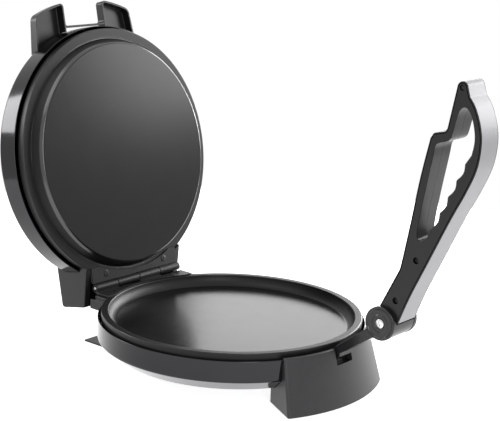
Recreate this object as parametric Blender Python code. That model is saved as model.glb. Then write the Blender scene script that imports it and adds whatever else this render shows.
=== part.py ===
"""Electric pancake maker with two round plates and a press lever.

The lower plate sits in a pan on a front and a rear foot. The lid carries the upper plate and
stands back on a knuckle hinge. A looped lever turns in a collar in front of the base and, with
the lid down, swings over it between two prongs. Metres, +Z up. The origin is the centre of the
lower cooking face and the front is -Y. The lid stands open and the lever leans forward, each
on its stop. Lid pieces are drawn closed and then opened. Lever pieces are drawn upright, with
the pivot at the origin, and then leaned.
"""
import math

import bmesh
import bpy
from mathutils import Matrix, Vector

# Fits, overruns and facets
GAP = 0.0003
OVERRUN = 0.006
MERGE = 0.000001
LARGE_SIDES = 60
SMALL_SIDES = 16
SCREW_SIDES = 10
ARC_STEPS = 4
BEAD_STEPS = 2
TIP_STEPS = 6
HOLE_TURN = math.radians(7)

# Plates
PLATE_RADIUS = 0.138
PLATE_THICKNESS = 0.0055
FLANGE_THICKNESS = 0.005
SKIRT_HEIGHT = 0.009
SKIRT_WALL = 0.004
EDGE_BEVEL = 0.001
RECESS_DEPTH = 0.0114
RIM_WIDTH = 0.0076
COVE_WIDTH = 0.0094
FLANGE_GAP = 0.0082
DISC_SETBACK = 0.0161
DISC_PROUD = 0.0116
DISC_ROUNDING = 0.0025
DISC_SLOPE_WIDTH = 0.0047
LUG_HALF_WIDTH = 0.07
LUG_SETBACK = 0.0012
LUG_DEPTH = 0.0368

# Sheet casings
SHEET = 0.0012
CASING_OVERHANG = 0.0038
CASING_RIM_DROP = 0.0067
CASING_WALL_HEIGHT = 0.0217
CASING_CHAMFER_WIDTH = 0.0184
CASING_CHAMFER_HEIGHT = 0.0138
ACCESS_RADIUS = 0.06
COVER_LAP = 0.008
LID_RIM_RISE = 0.0098
LID_WALL_HEIGHT = 0.0217
CROWN_HEIGHT = 0.01
CROWN_SHOULDER = 0.031

# Feet
STAND_HEIGHT = 0.0188
FOOT_LIP = 0.0042
FOOT_TOP_RISE = 0.0022
FOOT_FLARE = 0.0155
FOOT_TUCK = 0.0084
FOOT_HALF_ANGLE = math.radians(28.8)
FOOT_POCKET_WALL = 0.004
FOOT_POCKET_HALF_ANGLE = math.radians(18)
NOTCH_WIDTH = 0.025
NOTCH_DEPTH = 0.0155
PAD_RADIUS = 0.006
PAD_THICKNESS = 0.003
PAD_PROUD = 0.0006
PAD_HALF_ANGLE = math.radians(24)
REAR_FOOT_HALF_WIDTH = 0.06
REAR_FOOT_REACH = 0.0202
REAR_FOOT_SETBACK = 0.0174
REAR_FOOT_LAP = 0.018
REAR_FOOT_SHEET = 0.0018

# Hinge
HINGE_REACH = 0.0027
HINGE_RISE = 0.0018
HINGE_HALF_LENGTH = 0.066
KNUCKLE_RADIUS = 0.0039
KNUCKLE_COUNT = 4
PIN_RADIUS = 0.0016
LEAF_THICKNESS = 0.0016
LEAF_DEPTH = 0.0217
LEAF_SETBACK = 0.0006
LEAF_SCREW_REACH = 0.045
LEAF_SCREW_INSET = 0.0127
LID_OPEN_ANGLE = math.radians(101.7)
SUPPORT_LIP = 0.0022
SUPPORT_HEIGHT = 0.011

# Hinge housing on the lid
HOUSING_HALF_WIDTH = 0.0737
HOUSING_WALL = 0.0068
HOUSING_SKIN = 0.003
HOUSING_NOSE_REACH = 0.0267
HOUSING_HEEL_REACH = 0.0203
HOUSING_HEIGHT = 0.0456
HOUSING_NOSE_DROP = 0.002
HOUSING_HEEL_RISE = 0.01
HOUSING_ROUNDING = 0.004

# Guide fork on the lid
FORK_LENGTH = 0.0318
FORK_DEPTH = 0.0115
FORK_DROP = 0.004
FORK_GAP_HALF = 0.029
FORK_HALF_WIDTH = 0.071
FORK_FLARE = 0.0045
FORK_TUCK = 0.0238
FORK_CORNER = 0.01
FORK_NOSE = 0.0045
FORK_WALL = 0.002
FORK_DRAFT = 0.0008
FORK_BAR_SETOFF = 0.0016
FORK_BAR_THICKNESS = 0.0022
FORK_BAR_DROP = 0.0008

# Pivot arm in front of the base
PIVOT_REACH = 0.0595
PIVOT_RISE = 0.0335
CAP_RADIUS = 0.0168
CAP_FACE = 0.0202
COLLAR_OUTER = 0.0164
COLLAR_INNER = 0.0132
COLLAR_FRONT_ANGLE = math.radians(175.5)
COLLAR_BACK_ANGLE = math.radians(337)
EYE_RADIUS = 0.014
ARM_WIDTH = 0.0204
ARM_FOOT_REACH = 0.0085
ARM_THICKNESS = 0.0102
ARM_NECK_TOP_SHARE = 0.25
ARM_NECK_BASE_SHARE = 0.6
ARM_BLOCK_REACH = 0.0035
SHAFT_RADIUS = 0.0045
CAP_SCREW_RADIUS = 0.0046
CAP_SCREW_SHANK = 0.0018
CAP_SCREW_DEPTH = 0.006
CAP_SINK = 0.0018

# Lever, with the pivot at the origin: along it, and outward from the cooker
LEVER_LENGTH = 0.2457
LEVER_DEPTH = 0.04
LEVER_WIDTH = 0.03
LEVER_LEAN = math.radians(16.5)
HUB_RADIUS = 0.0128
HUB_CLEAR_RADIUS = 0.022
TIP_RADIUS = 0.0056
TIP_START_ANGLE = math.radians(155)
TIP_HOLE_RADIUS = 0.0028
COVER_SHEET = 0.0012
COVER_INSET = 0.0012
FINGER_COUNT = 4
FINGER_DEPTH = 0.0025
LEVER_SCREW_HEAD = 0.0031
LEVER_SCREW_SHANK = 0.0017
LEVER_SCREW_SINK = 0.0018
LEVER_SCREW_HEAD_HEIGHT = 0.002
OUTER_SHARES = ((0.033, 0.4), (0.16, 0.47), (0.34, 0.635), (0.52, 0.8), (0.64, 0.935),
                (0.738, 1.0), (0.82, 0.935), (0.886, 0.78), (0.948, 0.5), (0.98, 0.25))
PRESS_SHARES = ((0.834, -0.035), (0.82, -0.065), (0.808, -0.19), (0.795, -0.325),
                (0.771, -0.367), (0.615, -0.293), (0.431, -0.155), (0.266, -0.042),
                (0.236, -0.032), (0.059, -0.22))
LOOP_SHARES = ((0.383, 0.23), (0.391, 0.14), (0.44, 0.055), (0.56, -0.045), (0.70, -0.14),
               (0.752, -0.178), (0.773, -0.09), (0.79, 0.06), (0.806, 0.135), (0.9, 0.107),
               (0.93, 0.16), (0.936, 0.28), (0.915, 0.45), (0.87, 0.63), (0.83, 0.72),
               (0.785, 0.752))
FINGER_START_SHARE = (0.745, 0.74)
FINGER_END_SHARE = (0.452, 0.47)
LOOP_END_SHARE = (0.41, 0.37)
LEVER_SCREW_SHARES = ((0.306, 0.31), (0.113, 0.14))

# Heaters, shields, standoffs and wiring parts
ELEMENT_SETBACK = 0.02
ELEMENT_TUBE = 0.0035
ELEMENT_OPENING = 0.0388228568
ELEMENT_POINTS = 24
TERMINAL_LENGTH = 0.014
POST_SETBACK = 0.043
POST_RADIUS = 0.006
POST_NECK = 0.004
POST_BORE = 0.0022
POST_ANGLES = (math.radians(30), math.radians(150), math.radians(270))
SHIELD_SETBACK = 0.026
SHIELD_HOLE = 0.02
SHIELD_SHEET = 0.0008
SHIELD_OFFSET = 0.0095
SCREW_HEAD = 0.004
SCREW_HEAD_HEIGHT = 0.002
SCREW_SHANK = 0.0019
SCREW_LENGTH = 0.012
THERMOSTAT_RADIUS = 0.009
THERMOSTAT_HEIGHT = 0.0075
FUSE_RADIUS = 0.003
FUSE_LENGTH = 0.022
FUSE_OFFSET = 0.03
BLOCK_SIZE = (0.028, 0.016, 0.01)
BLOCK_LAP = 0.003
GLAND_ANGLE = math.radians(40)
GLAND_RADIUS = 0.0065
GLAND_NECK = 0.005
GLAND_LENGTH = 0.012
GLAND_DROP = 0.012
COVER_SCREWS = 3
COVER_SCREW_TURN = math.radians(17)

# Radii and reaches that follow
DISC_RADIUS = PLATE_RADIUS - DISC_SETBACK
CASING_RADIUS = PLATE_RADIUS + CASING_OVERHANG
CASING_BOTTOM_RADIUS = CASING_RADIUS - CASING_CHAMFER_WIDTH
FOOT_TOP_RADIUS = CASING_RADIUS + FOOT_LIP
FOOT_BOTTOM_RADIUS = FOOT_TOP_RADIUS + FOOT_FLARE
FOOT_INNER_RADIUS = CASING_BOTTOM_RADIUS - FOOT_TUCK
REAR_FOOT_BACK = CASING_RADIUS + REAR_FOOT_REACH
REAR_FOOT_WEB = CASING_BOTTOM_RADIUS - REAR_FOOT_SETBACK
LUG_BACK = PLATE_RADIUS - LUG_SETBACK
LUG_FRONT = LUG_BACK - LUG_DEPTH
HINGE_BACK = PLATE_RADIUS + HINGE_REACH
LEAF_FRONT = HINGE_BACK - LEAF_DEPTH
LEAF_SCREW_BACK = HINGE_BACK - LEAF_SCREW_INSET
SUPPORT_BACK = CASING_RADIUS + SUPPORT_LIP
HOUSING_FRONT = HINGE_BACK - HOUSING_NOSE_REACH
HOUSING_BACK = HINGE_BACK + HOUSING_HEEL_REACH
FORK_REACH = CASING_RADIUS + FORK_LENGTH
FORK_ROOT = CASING_RADIUS - FORK_TUCK
FORK_BAR_BACK = CASING_RADIUS + FORK_BAR_SETOFF
FORK_BAR_FRONT = FORK_BAR_BACK + FORK_BAR_THICKNESS
PIVOT_FORWARD = CASING_RADIUS + PIVOT_REACH
POST_RING = PLATE_RADIUS - POST_SETBACK
ELEMENT_RADIUS = POST_RING - ELEMENT_SETBACK
BLOCK_BACK = ELEMENT_RADIUS + BLOCK_LAP
SHIELD_RADIUS = PLATE_RADIUS - SHIELD_SETBACK

# Heights that follow
FLANGE_Z = RECESS_DEPTH
LID_FLANGE_Z = FLANGE_Z + FLANGE_GAP
MID_GAP_Z = FLANGE_Z + FLANGE_GAP / 2
CASING_TOP_Z = FLANGE_Z - CASING_RIM_DROP
CASING_WALL_Z = CASING_TOP_Z - CASING_WALL_HEIGHT
CASING_FLOOR_Z = CASING_WALL_Z - CASING_CHAMFER_HEIGHT
GROUND_Z = CASING_FLOOR_Z - STAND_HEIGHT
LID_RIM_Z = LID_FLANGE_Z + LID_RIM_RISE
LID_WALL_Z = LID_RIM_Z + LID_WALL_HEIGHT
CROWN_Z = LID_WALL_Z + CROWN_HEIGHT
DISC_Z = LID_FLANGE_Z - DISC_PROUD
HINGE_Z = MID_GAP_Z + HINGE_RISE
PIVOT_Z = MID_GAP_Z + PIVOT_RISE
FOOT_TOP_Z = CASING_TOP_Z + FOOT_TOP_RISE
FOOT_BOTTOM_Z = GROUND_Z + PAD_PROUD
NOTCH_Z = FOOT_TOP_Z - NOTCH_DEPTH
HINGE_POINT = Vector((0, HINGE_BACK, HINGE_Z))
PIVOT_POINT = Vector((0, -PIVOT_FORWARD, PIVOT_Z))
FULL_TURN = 2 * math.pi
QUARTER_TURN = math.pi / 2

# Finishes: colour, roughness, metallic
FINISHES = {
    "nonstick_coating": ((0.03, 0.03, 0.032), 0.35, 0.1),
    "dark_sheet_metal": ((0.16, 0.16, 0.17), 0.3, 0.9),
    "gloss_black_plastic": ((0.02, 0.02, 0.022), 0.2, 0.0),
    "satin_black_plastic": ((0.04, 0.04, 0.043), 0.5, 0.0),
    "satin_aluminium": ((0.78, 0.78, 0.79), 0.35, 1.0),
    "bright_steel": ((0.7, 0.7, 0.72), 0.2, 1.0),
    "black_steel": ((0.03, 0.03, 0.03), 0.4, 0.8),
    "galvanised_steel": ((0.5, 0.5, 0.5), 0.45, 1.0),
    "rubber": ((0.03, 0.03, 0.03), 0.8, 0.0),
    "ceramic": ((0.8, 0.78, 0.72), 0.7, 0.0),
}


# Points in a plane

def arc(centre, radius, start, end, steps=ARC_STEPS):
    """Points on an arc of a circle, or of an ellipse where radius is a pair."""
    wide, high = radius if isinstance(radius, tuple) else (radius, radius)
    angles = [start + (end - start) * i / steps for i in range(steps + 1)]
    return [(centre[0] + wide * math.cos(a), centre[1] + high * math.sin(a)) for a in angles]


def circle(centre, radius, sides, turn=0.0):
    return arc(centre, radius, turn, turn + FULL_TURN, sides)[:-1]


def rectangle(low, high):
    return [low, (high[0], low[1]), high, (low[0], high[1])]


def offset_line(points, distance):
    """An open line moved to its left by a distance, corner by corner."""
    moved = []
    for i, point in enumerate(points):
        before, after = points[max(i - 1, 0)], points[min(i + 1, len(points) - 1)]
        along = Vector(after) - Vector(before)
        normal = Vector((-along.y, along.x)).normalized()
        moved.append(tuple(Vector(point) + normal * distance))
    return moved


def stretched(points, reach):
    """An open line made longer at both ends."""
    first, second, last, other = (Vector(points[i]) for i in (0, 1, -1, -2))
    start = first + (first - second).normalized() * reach
    end = last + (last - other).normalized() * reach
    return [tuple(start)] + points[1:-1] + [tuple(end)]


def smooth_line(points, steps):
    """A Catmull-Rom curve through points, with a few steps between each two."""
    curve = []
    for i in range(len(points) - 1):
        last = len(points) - 1
        corners = (max(i - 1, 0), i, i + 1, min(i + 2, last))
        p0, p1, p2, p3 = (Vector(points[corner]) for corner in corners)
        for step in range(steps):
            t = step / steps
            bend = (p2 - p0) * t + (p0 * 2 - p1 * 5 + p2 * 4 - p3) * t ** 2
            bend += (p1 * 3 - p0 - p2 * 3 + p3) * t ** 3
            curve.append(tuple(p1 + bend / 2))
    return curve + [tuple(points[-1])]


def scaled(shares):
    """Places on the lever from shares of its length and depth, as (across, up) points."""
    return [(-outward * LEVER_DEPTH, along * LEVER_LENGTH) for along, outward in shares]


# Solids

def finished(name, bm):
    """Turn a bmesh into an object of its own."""
    bmesh.ops.remove_doubles(bm, verts=bm.verts[:], dist=MERGE)
    bmesh.ops.recalc_face_normals(bm, faces=bm.faces[:])
    mesh = bpy.data.meshes.new(name)
    bm.to_mesh(mesh)
    bm.free()
    piece = bpy.data.objects.new(name, mesh)
    bpy.context.scene.collection.objects.link(piece)
    return piece


def prism(name, outline, low, high, axis):
    """An outline pushed from low to high along X, Y or Z."""
    return loft(name, outline, outline, low, high, axis)


def loft(name, lower, upper, low, high, axis):
    """Two outlines with as many points, joined by straight sides."""
    place = {
        "X": lambda a, b, c: (c, a, b),
        "Y": lambda a, b, c: (a, c, b),
        "Z": lambda a, b, c: (a, b, c),
    }[axis]
    bm = bmesh.new()
    ends = [[bm.verts.new(place(a, b, level)) for a, b in ring]
            for ring, level in ((lower, low), (upper, high))]
    for ring in ends:
        bm.faces.new(ring)
    for i in range(len(lower)):
        bm.faces.new((ends[0][i - 1], ends[0][i], ends[1][i], ends[1][i - 1]))
    return finished(name, bm)


def rod(name, radius, low, high, axis, centre=(0, 0), sides=SCREW_SIDES):
    return prism(name, circle(centre, radius, sides), low, high, axis)


def drill(radius, low, high, place):
    """An upright cutter whose facets stay off the edges of the turned piece that it cuts."""
    return prism("drill", circle(place, radius, SCREW_SIDES, HOLE_TURN), low, high, "Z")


def turned(name, profile, sides=LARGE_SIDES, sweep=FULL_TURN, start=0.0):
    """A profile of (radius, height) points spun about Z, closed on the axis or on itself."""
    bm = bmesh.new()
    verts = [bm.verts.new((r * math.cos(start), r * math.sin(start), z)) for r, z in profile]
    edges = [bm.edges.new(pair) for pair in zip(verts, verts[1:])]
    if profile[0][0] or profile[-1][0]:
        edges.append(bm.edges.new((verts[-1], verts[0])))
    whole = sweep == FULL_TURN
    bmesh.ops.spin(bm, geom=verts + edges, cent=(0, 0, 0), axis=(0, 0, 1), angle=sweep,
                   steps=sides, use_merge=whole, use_duplicate=False)
    if not whole:
        bmesh.ops.holes_fill(bm, edges=[edge for edge in bm.edges if edge.is_boundary])
    return finished(name, bm)


def placed(piece, matrix):
    """Move the mesh itself, so that the object keeps its origin."""
    piece.data.transform(matrix)
    return piece


def combine(body, tool, operation):
    """Join or cut a solid with another one, which is used up."""
    modifier = body.modifiers.new(operation, "BOOLEAN")
    modifier.operation = operation
    modifier.object = tool
    graph = bpy.context.evaluated_depsgraph_get()
    shape = bpy.data.meshes.new_from_object(body.evaluated_get(graph))
    body.modifiers.remove(modifier)
    body.data = shape
    bpy.data.objects.remove(tool)
    return body


def cut(body, *tools):
    for tool in tools:
        combine(body, tool, "DIFFERENCE")
    return body


def join(body, *tools):
    for tool in tools:
        combine(body, tool, "UNION")
    return body


def dress(piece, finish, parent):
    """Give a piece its finish, smooth round faces and the axis that it turns on."""
    material = bpy.data.materials.get(finish)
    if material is None:
        colour, roughness, metallic = FINISHES[finish]
        material = bpy.data.materials.new(finish)
        material.use_nodes = True
        shader = material.node_tree.nodes["Principled BSDF"]
        shader.inputs["Base Color"].default_value = (*colour, 1.0)
        shader.inputs["Roughness"].default_value = roughness
        shader.inputs["Metallic"].default_value = metallic
    piece.data.materials.clear()
    piece.data.materials.append(material)
    if piece.type == "MESH":
        piece.data.shade_smooth()
        piece.data.set_sharp_from_angle(angle=math.radians(30))
    piece.parent = parent
    return piece


def screw(name, head, head_height, shank, length, sides=SCREW_SIDES):
    """A screw that points up, its head's underside at zero."""
    return turned(name, [(0, -head_height), (head, -head_height), (head, 0), (shank, 0),
                         (shank, length), (0, length)], sides)


# Base

def casing_cutter(name):
    """The space that the base fills, which pieces beside it stay out of."""
    plate, casing = PLATE_RADIUS + GAP, CASING_RADIUS + GAP
    return turned(name, [
        (0, GROUND_Z - OVERRUN), (CASING_BOTTOM_RADIUS + GAP, GROUND_Z - OVERRUN),
        (CASING_BOTTOM_RADIUS + GAP, CASING_FLOOR_Z - GAP), (casing, CASING_WALL_Z - GAP),
        (casing, CASING_TOP_Z + GAP), (plate, CASING_TOP_Z + GAP),
        (plate, LID_FLANGE_Z), (0, LID_FLANGE_Z)])


def make_lower_plate():
    floor_radius = PLATE_RADIUS - RIM_WIDTH - COVE_WIDTH
    skirt_inner = PLATE_RADIUS - SKIRT_WALL
    cove = arc((floor_radius, FLANGE_Z), (COVE_WIDTH, RECESS_DEPTH), -QUARTER_TURN, 0)
    rim = [(PLATE_RADIUS - EDGE_BEVEL, FLANGE_Z), (PLATE_RADIUS, FLANGE_Z - EDGE_BEVEL),
           (PLATE_RADIUS, FLANGE_Z - SKIRT_HEIGHT), (skirt_inner, FLANGE_Z - SKIRT_HEIGHT)]
    back = [(floor_radius + SKIRT_WALL, -PLATE_THICKNESS), (0, -PLATE_THICKNESS)]
    plate = turned("lower_plate", [(0, 0)] + cove + rim + back)
    lug = prism("lug", rectangle((-LUG_HALF_WIDTH, LUG_FRONT), (LUG_HALF_WIDTH, LUG_BACK)),
                FLANGE_Z - FLANGE_THICKNESS, FLANGE_Z, "Z")
    cut(lug, rod("bowl", PLATE_RADIUS - RIM_WIDTH / 2, -OVERRUN, LID_FLANGE_Z, "Z",
                 sides=LARGE_SIDES))
    join(plate, lug)
    for x in (-LEAF_SCREW_REACH, LEAF_SCREW_REACH):
        cut(plate, drill(SCREW_SHANK + GAP, FLANGE_Z - FLANGE_THICKNESS - OVERRUN,
                       FLANGE_Z + OVERRUN, (x, LEAF_SCREW_BACK)))
    return plate


def make_base_casing():
    top_radius = SHEET / 2
    profile = arc((CASING_RADIUS - top_radius, CASING_TOP_Z - top_radius), top_radius,
                  math.pi, 0, BEAD_STEPS)
    profile += [(CASING_RADIUS, CASING_WALL_Z), (CASING_BOTTOM_RADIUS, CASING_FLOOR_Z),
                (ACCESS_RADIUS, CASING_FLOOR_Z), (ACCESS_RADIUS, CASING_FLOOR_Z + SHEET),
                (CASING_BOTTOM_RADIUS - SHEET, CASING_FLOOR_Z + SHEET),
                (CASING_RADIUS - SHEET, CASING_WALL_Z)]
    casing = turned("base_casing", profile)
    for place in post_places() + rear_foot_screw_places() + cover_screw_places():
        cut(casing, drill(SCREW_SHANK + GAP, CASING_FLOOR_Z - OVERRUN,
                        CASING_FLOOR_Z + OVERRUN, place))
    socket = rod("hole", GLAND_NECK + GAP, CASING_RADIUS - OVERRUN, CASING_RADIUS + OVERRUN, "X",
                 (0, CASING_TOP_Z - GLAND_DROP), SMALL_SIDES)
    cut(casing, placed(socket, Matrix.Rotation(GLAND_ANGLE, 4, "Z")))
    return casing


def cover_screw_places():
    ring = ACCESS_RADIUS + COVER_LAP / 2
    angles = [COVER_SCREW_TURN + FULL_TURN * i / COVER_SCREWS for i in range(COVER_SCREWS)]
    return [(ring * math.cos(a), ring * math.sin(a)) for a in angles]


def make_bottom_cover():
    top = CASING_FLOOR_Z - GAP
    cover = rod("bottom_cover", ACCESS_RADIUS + COVER_LAP, top - SHEET, top, "Z",
                sides=LARGE_SIDES)
    for place in cover_screw_places():
        cut(cover, drill(SCREW_SHANK + GAP, top - OVERRUN, top + OVERRUN, place))
    return cover


def make_front_foot():
    foot = turned("front_foot", [
        (FOOT_INNER_RADIUS, FOOT_BOTTOM_Z), (FOOT_BOTTOM_RADIUS, FOOT_BOTTOM_Z),
        (FOOT_TOP_RADIUS, FOOT_TOP_Z), (CASING_RADIUS - OVERRUN, FOOT_TOP_Z),
        (FOOT_INNER_RADIUS, CASING_FLOOR_Z)],
        sides=ARC_STEPS * 2, sweep=2 * FOOT_HALF_ANGLE, start=-QUARTER_TURN - FOOT_HALF_ANGLE)
    cut(foot, casing_cutter_above_floor("casing"))
    pocket = turned("pocket", [
        (FOOT_INNER_RADIUS + FOOT_POCKET_WALL, FOOT_BOTTOM_Z - OVERRUN),
        (FOOT_TOP_RADIUS, FOOT_BOTTOM_Z - OVERRUN), (FOOT_TOP_RADIUS, CASING_FLOOR_Z),
        (CASING_BOTTOM_RADIUS, CASING_FLOOR_Z - FOOT_POCKET_WALL),
        (FOOT_INNER_RADIUS + FOOT_POCKET_WALL, CASING_FLOOR_Z - FOOT_POCKET_WALL)],
        sides=ARC_STEPS, sweep=2 * FOOT_POCKET_HALF_ANGLE,
        start=-QUARTER_TURN - FOOT_POCKET_HALF_ANGLE)
    notch = prism("notch", rectangle((-NOTCH_WIDTH / 2, -FOOT_BOTTOM_RADIUS),
                                     (NOTCH_WIDTH / 2, -FOOT_INNER_RADIUS)),
                  NOTCH_Z, FOOT_TOP_Z + OVERRUN, "Z")
    cut(foot, pocket, notch)
    for x, y in pad_places():
        cut(foot, rod("seat", PAD_RADIUS + GAP, FOOT_BOTTOM_Z - OVERRUN,
                      GROUND_Z + PAD_THICKNESS + GAP, "Z", (x, y), SMALL_SIDES))
    return foot


def casing_cutter_above_floor(name):
    """The pan's own outside, without the room under it where the foot reaches in."""
    casing = CASING_RADIUS + GAP
    return turned(name, [
        (0, CASING_FLOOR_Z - GAP), (CASING_BOTTOM_RADIUS + GAP, CASING_FLOOR_Z - GAP),
        (casing, CASING_WALL_Z - GAP), (casing, FLANGE_Z), (0, FLANGE_Z)])


def pad_places():
    ring = (FOOT_BOTTOM_RADIUS + FOOT_INNER_RADIUS) / 2
    angles = [-QUARTER_TURN + side * PAD_HALF_ANGLE for side in (-1, 1)]
    return [(ring * math.cos(a), ring * math.sin(a)) for a in angles]


def make_rear_foot():
    """A bent strip: a lap under the pan, a web down and a tongue out along the ground."""
    top, sheet = CASING_FLOOR_Z - GAP, REAR_FOOT_SHEET
    front = REAR_FOOT_WEB - REAR_FOOT_LAP
    outline = [(front, top), (REAR_FOOT_WEB, top), (REAR_FOOT_WEB, GROUND_Z + sheet),
               (REAR_FOOT_BACK, GROUND_Z + sheet), (REAR_FOOT_BACK, GROUND_Z),
               (REAR_FOOT_WEB - sheet, GROUND_Z), (REAR_FOOT_WEB - sheet, top - sheet),
               (front, top - sheet)]
    foot = prism("rear_foot", outline, -REAR_FOOT_HALF_WIDTH, REAR_FOOT_HALF_WIDTH, "X")
    for place in rear_foot_screw_places():
        cut(foot, drill(SCREW_SHANK + GAP, top - OVERRUN, top + OVERRUN, place))
    return foot


def rear_foot_screw_places():
    y = REAR_FOOT_WEB - REAR_FOOT_LAP / 2 - REAR_FOOT_SHEET
    return [(side * REAR_FOOT_HALF_WIDTH / 2, y) for side in (-1, 1)]


def make_hinge_support():
    top = FLANGE_Z - FLANGE_THICKNESS - GAP
    support = prism("hinge_support", rectangle((-LUG_HALF_WIDTH, LUG_FRONT),
                                               (LUG_HALF_WIDTH, SUPPORT_BACK)),
                    top - SUPPORT_HEIGHT, top, "Z")
    return cut(support, casing_cutter("casing"))


# Hinge

def make_leaf(name, first_knuckle, side):
    """A leaf with every second knuckle. Side is -1 for the base and 1 for the lid."""
    seat = (FLANGE_Z if side < 0 else LID_FLANGE_Z) - side * GAP
    face = seat - side * LEAF_THICKNESS
    inner_edge = HINGE_BACK - KNUCKLE_RADIUS - GAP
    leaf = prism(name, rectangle((-HINGE_HALF_LENGTH, LEAF_FRONT), (HINGE_HALF_LENGTH, inner_edge)),
                 min(seat, face), max(seat, face), "Z")
    pitch = 2 * HINGE_HALF_LENGTH / KNUCKLE_COUNT
    tongue = [(inner_edge - LEAF_THICKNESS, seat), (inner_edge - LEAF_THICKNESS, face),
              (HINGE_BACK, HINGE_Z + side * PIN_RADIUS),
              (HINGE_BACK, HINGE_Z + side * (KNUCKLE_RADIUS - GAP)),
              (inner_edge + LEAF_THICKNESS, seat)]
    for i in range(first_knuckle, KNUCKLE_COUNT, 2):
        low = -HINGE_HALF_LENGTH + i * pitch + GAP / 2
        high = low + pitch - GAP
        join(leaf, prism("tongue", tongue, low, high, "X"),
             rod("knuckle", KNUCKLE_RADIUS, low, high, "X", (HINGE_BACK, HINGE_Z), SMALL_SIDES))
    bowl = PLATE_RADIUS - RIM_WIDTH + LEAF_SETBACK
    cut(leaf, rod("bowl", bowl, DISC_Z, LID_FLANGE_Z + OVERRUN, "Z", sides=LARGE_SIDES))
    cut(leaf, rod("bore", PIN_RADIUS + GAP, -HINGE_HALF_LENGTH - OVERRUN,
                  HINGE_HALF_LENGTH + OVERRUN, "X", (HINGE_BACK, HINGE_Z)))
    for x in (-LEAF_SCREW_REACH, LEAF_SCREW_REACH):
        cut(leaf, drill(SCREW_SHANK + GAP, seat - OVERRUN, seat + OVERRUN, (x, LEAF_SCREW_BACK)))
    return leaf


def make_leaf_screw(name, x, side):
    """A screw through a leaf, its head in the gap between the leaves."""
    head = (FLANGE_GAP / 2 - LEAF_THICKNESS) / 2
    piece = screw(name, SCREW_HEAD, head, SCREW_SHANK, SCREW_LENGTH - LEAF_THICKNESS)
    turn = Matrix.Rotation(math.pi if side < 0 else 0, 4, "X")
    seat = (FLANGE_Z if side < 0 else LID_FLANGE_Z) - side * (LEAF_THICKNESS + 2 * GAP)
    return placed(piece, Matrix.Translation((x, LEAF_SCREW_BACK, seat)) @ turn)


# Lid, drawn closed

def lid_cutter(name):
    """The space that the closed lid fills, which its fork and hinge housing stay out of."""
    plate, casing = PLATE_RADIUS + GAP, CASING_RADIUS + GAP
    shoulder = arc((casing - CROWN_SHOULDER, LID_WALL_Z + GAP), (CROWN_SHOULDER, CROWN_HEIGHT),
                   0, QUARTER_TURN)
    return turned(name, [(0, DISC_Z), (plate, DISC_Z), (plate, LID_RIM_Z - GAP),
                         (casing, LID_RIM_Z - GAP)] + shoulder + [(0, CROWN_Z + GAP)])


def make_upper_plate():
    back = DISC_Z + PLATE_THICKNESS
    step = DISC_RADIUS + DISC_SLOPE_WIDTH
    skirt_inner = PLATE_RADIUS - SKIRT_WALL
    edge = arc((DISC_RADIUS - DISC_ROUNDING, DISC_Z + DISC_ROUNDING), DISC_ROUNDING,
               -QUARTER_TURN, 0, BEAD_STEPS)
    rim = [(step, LID_FLANGE_Z), (PLATE_RADIUS - EDGE_BEVEL, LID_FLANGE_Z),
           (PLATE_RADIUS, LID_FLANGE_Z + EDGE_BEVEL), (PLATE_RADIUS, LID_FLANGE_Z + SKIRT_HEIGHT),
           (skirt_inner, LID_FLANGE_Z + SKIRT_HEIGHT),
           (skirt_inner, LID_FLANGE_Z + FLANGE_THICKNESS),
           (DISC_RADIUS, LID_FLANGE_Z + FLANGE_THICKNESS),
           (DISC_RADIUS - DISC_SLOPE_WIDTH, back), (0, back)]
    plate = turned("upper_plate", [(0, DISC_Z)] + edge + rim)
    lug = prism("lug", rectangle((-HINGE_HALF_LENGTH, LUG_FRONT), (HINGE_HALF_LENGTH, LUG_BACK)),
                LID_FLANGE_Z, LID_FLANGE_Z + FLANGE_THICKNESS, "Z")
    cut(lug, rod("bowl", PLATE_RADIUS - RIM_WIDTH / 2, LID_FLANGE_Z - OVERRUN,
                 LID_FLANGE_Z + FLANGE_THICKNESS + OVERRUN, "Z", sides=LARGE_SIDES))
    join(plate, lug)
    for x in (-LEAF_SCREW_REACH, LEAF_SCREW_REACH):
        cut(plate, drill(SCREW_SHANK + GAP, LID_FLANGE_Z - OVERRUN,
                       LID_FLANGE_Z + FLANGE_THICKNESS + OVERRUN, (x, LEAF_SCREW_BACK)))
    return plate


def make_lid_casing():
    bead = SHEET / 2
    inner_radius = CASING_RADIUS - SHEET
    centre = CASING_RADIUS - CROWN_SHOULDER
    outside = arc((centre, LID_WALL_Z), (CROWN_SHOULDER, CROWN_HEIGHT), 0, QUARTER_TURN)
    inside = arc((centre, LID_WALL_Z), (CROWN_SHOULDER - SHEET, CROWN_HEIGHT - SHEET),
                 QUARTER_TURN, 0)
    rim = arc((CASING_RADIUS - bead, LID_RIM_Z + bead), bead, math.pi, FULL_TURN, BEAD_STEPS)
    return turned("lid_casing", [(0, CROWN_Z - SHEET)] + inside + [(inner_radius, LID_RIM_Z + bead)]
                  + rim[1:] + outside + [(0, CROWN_Z)])


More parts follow.
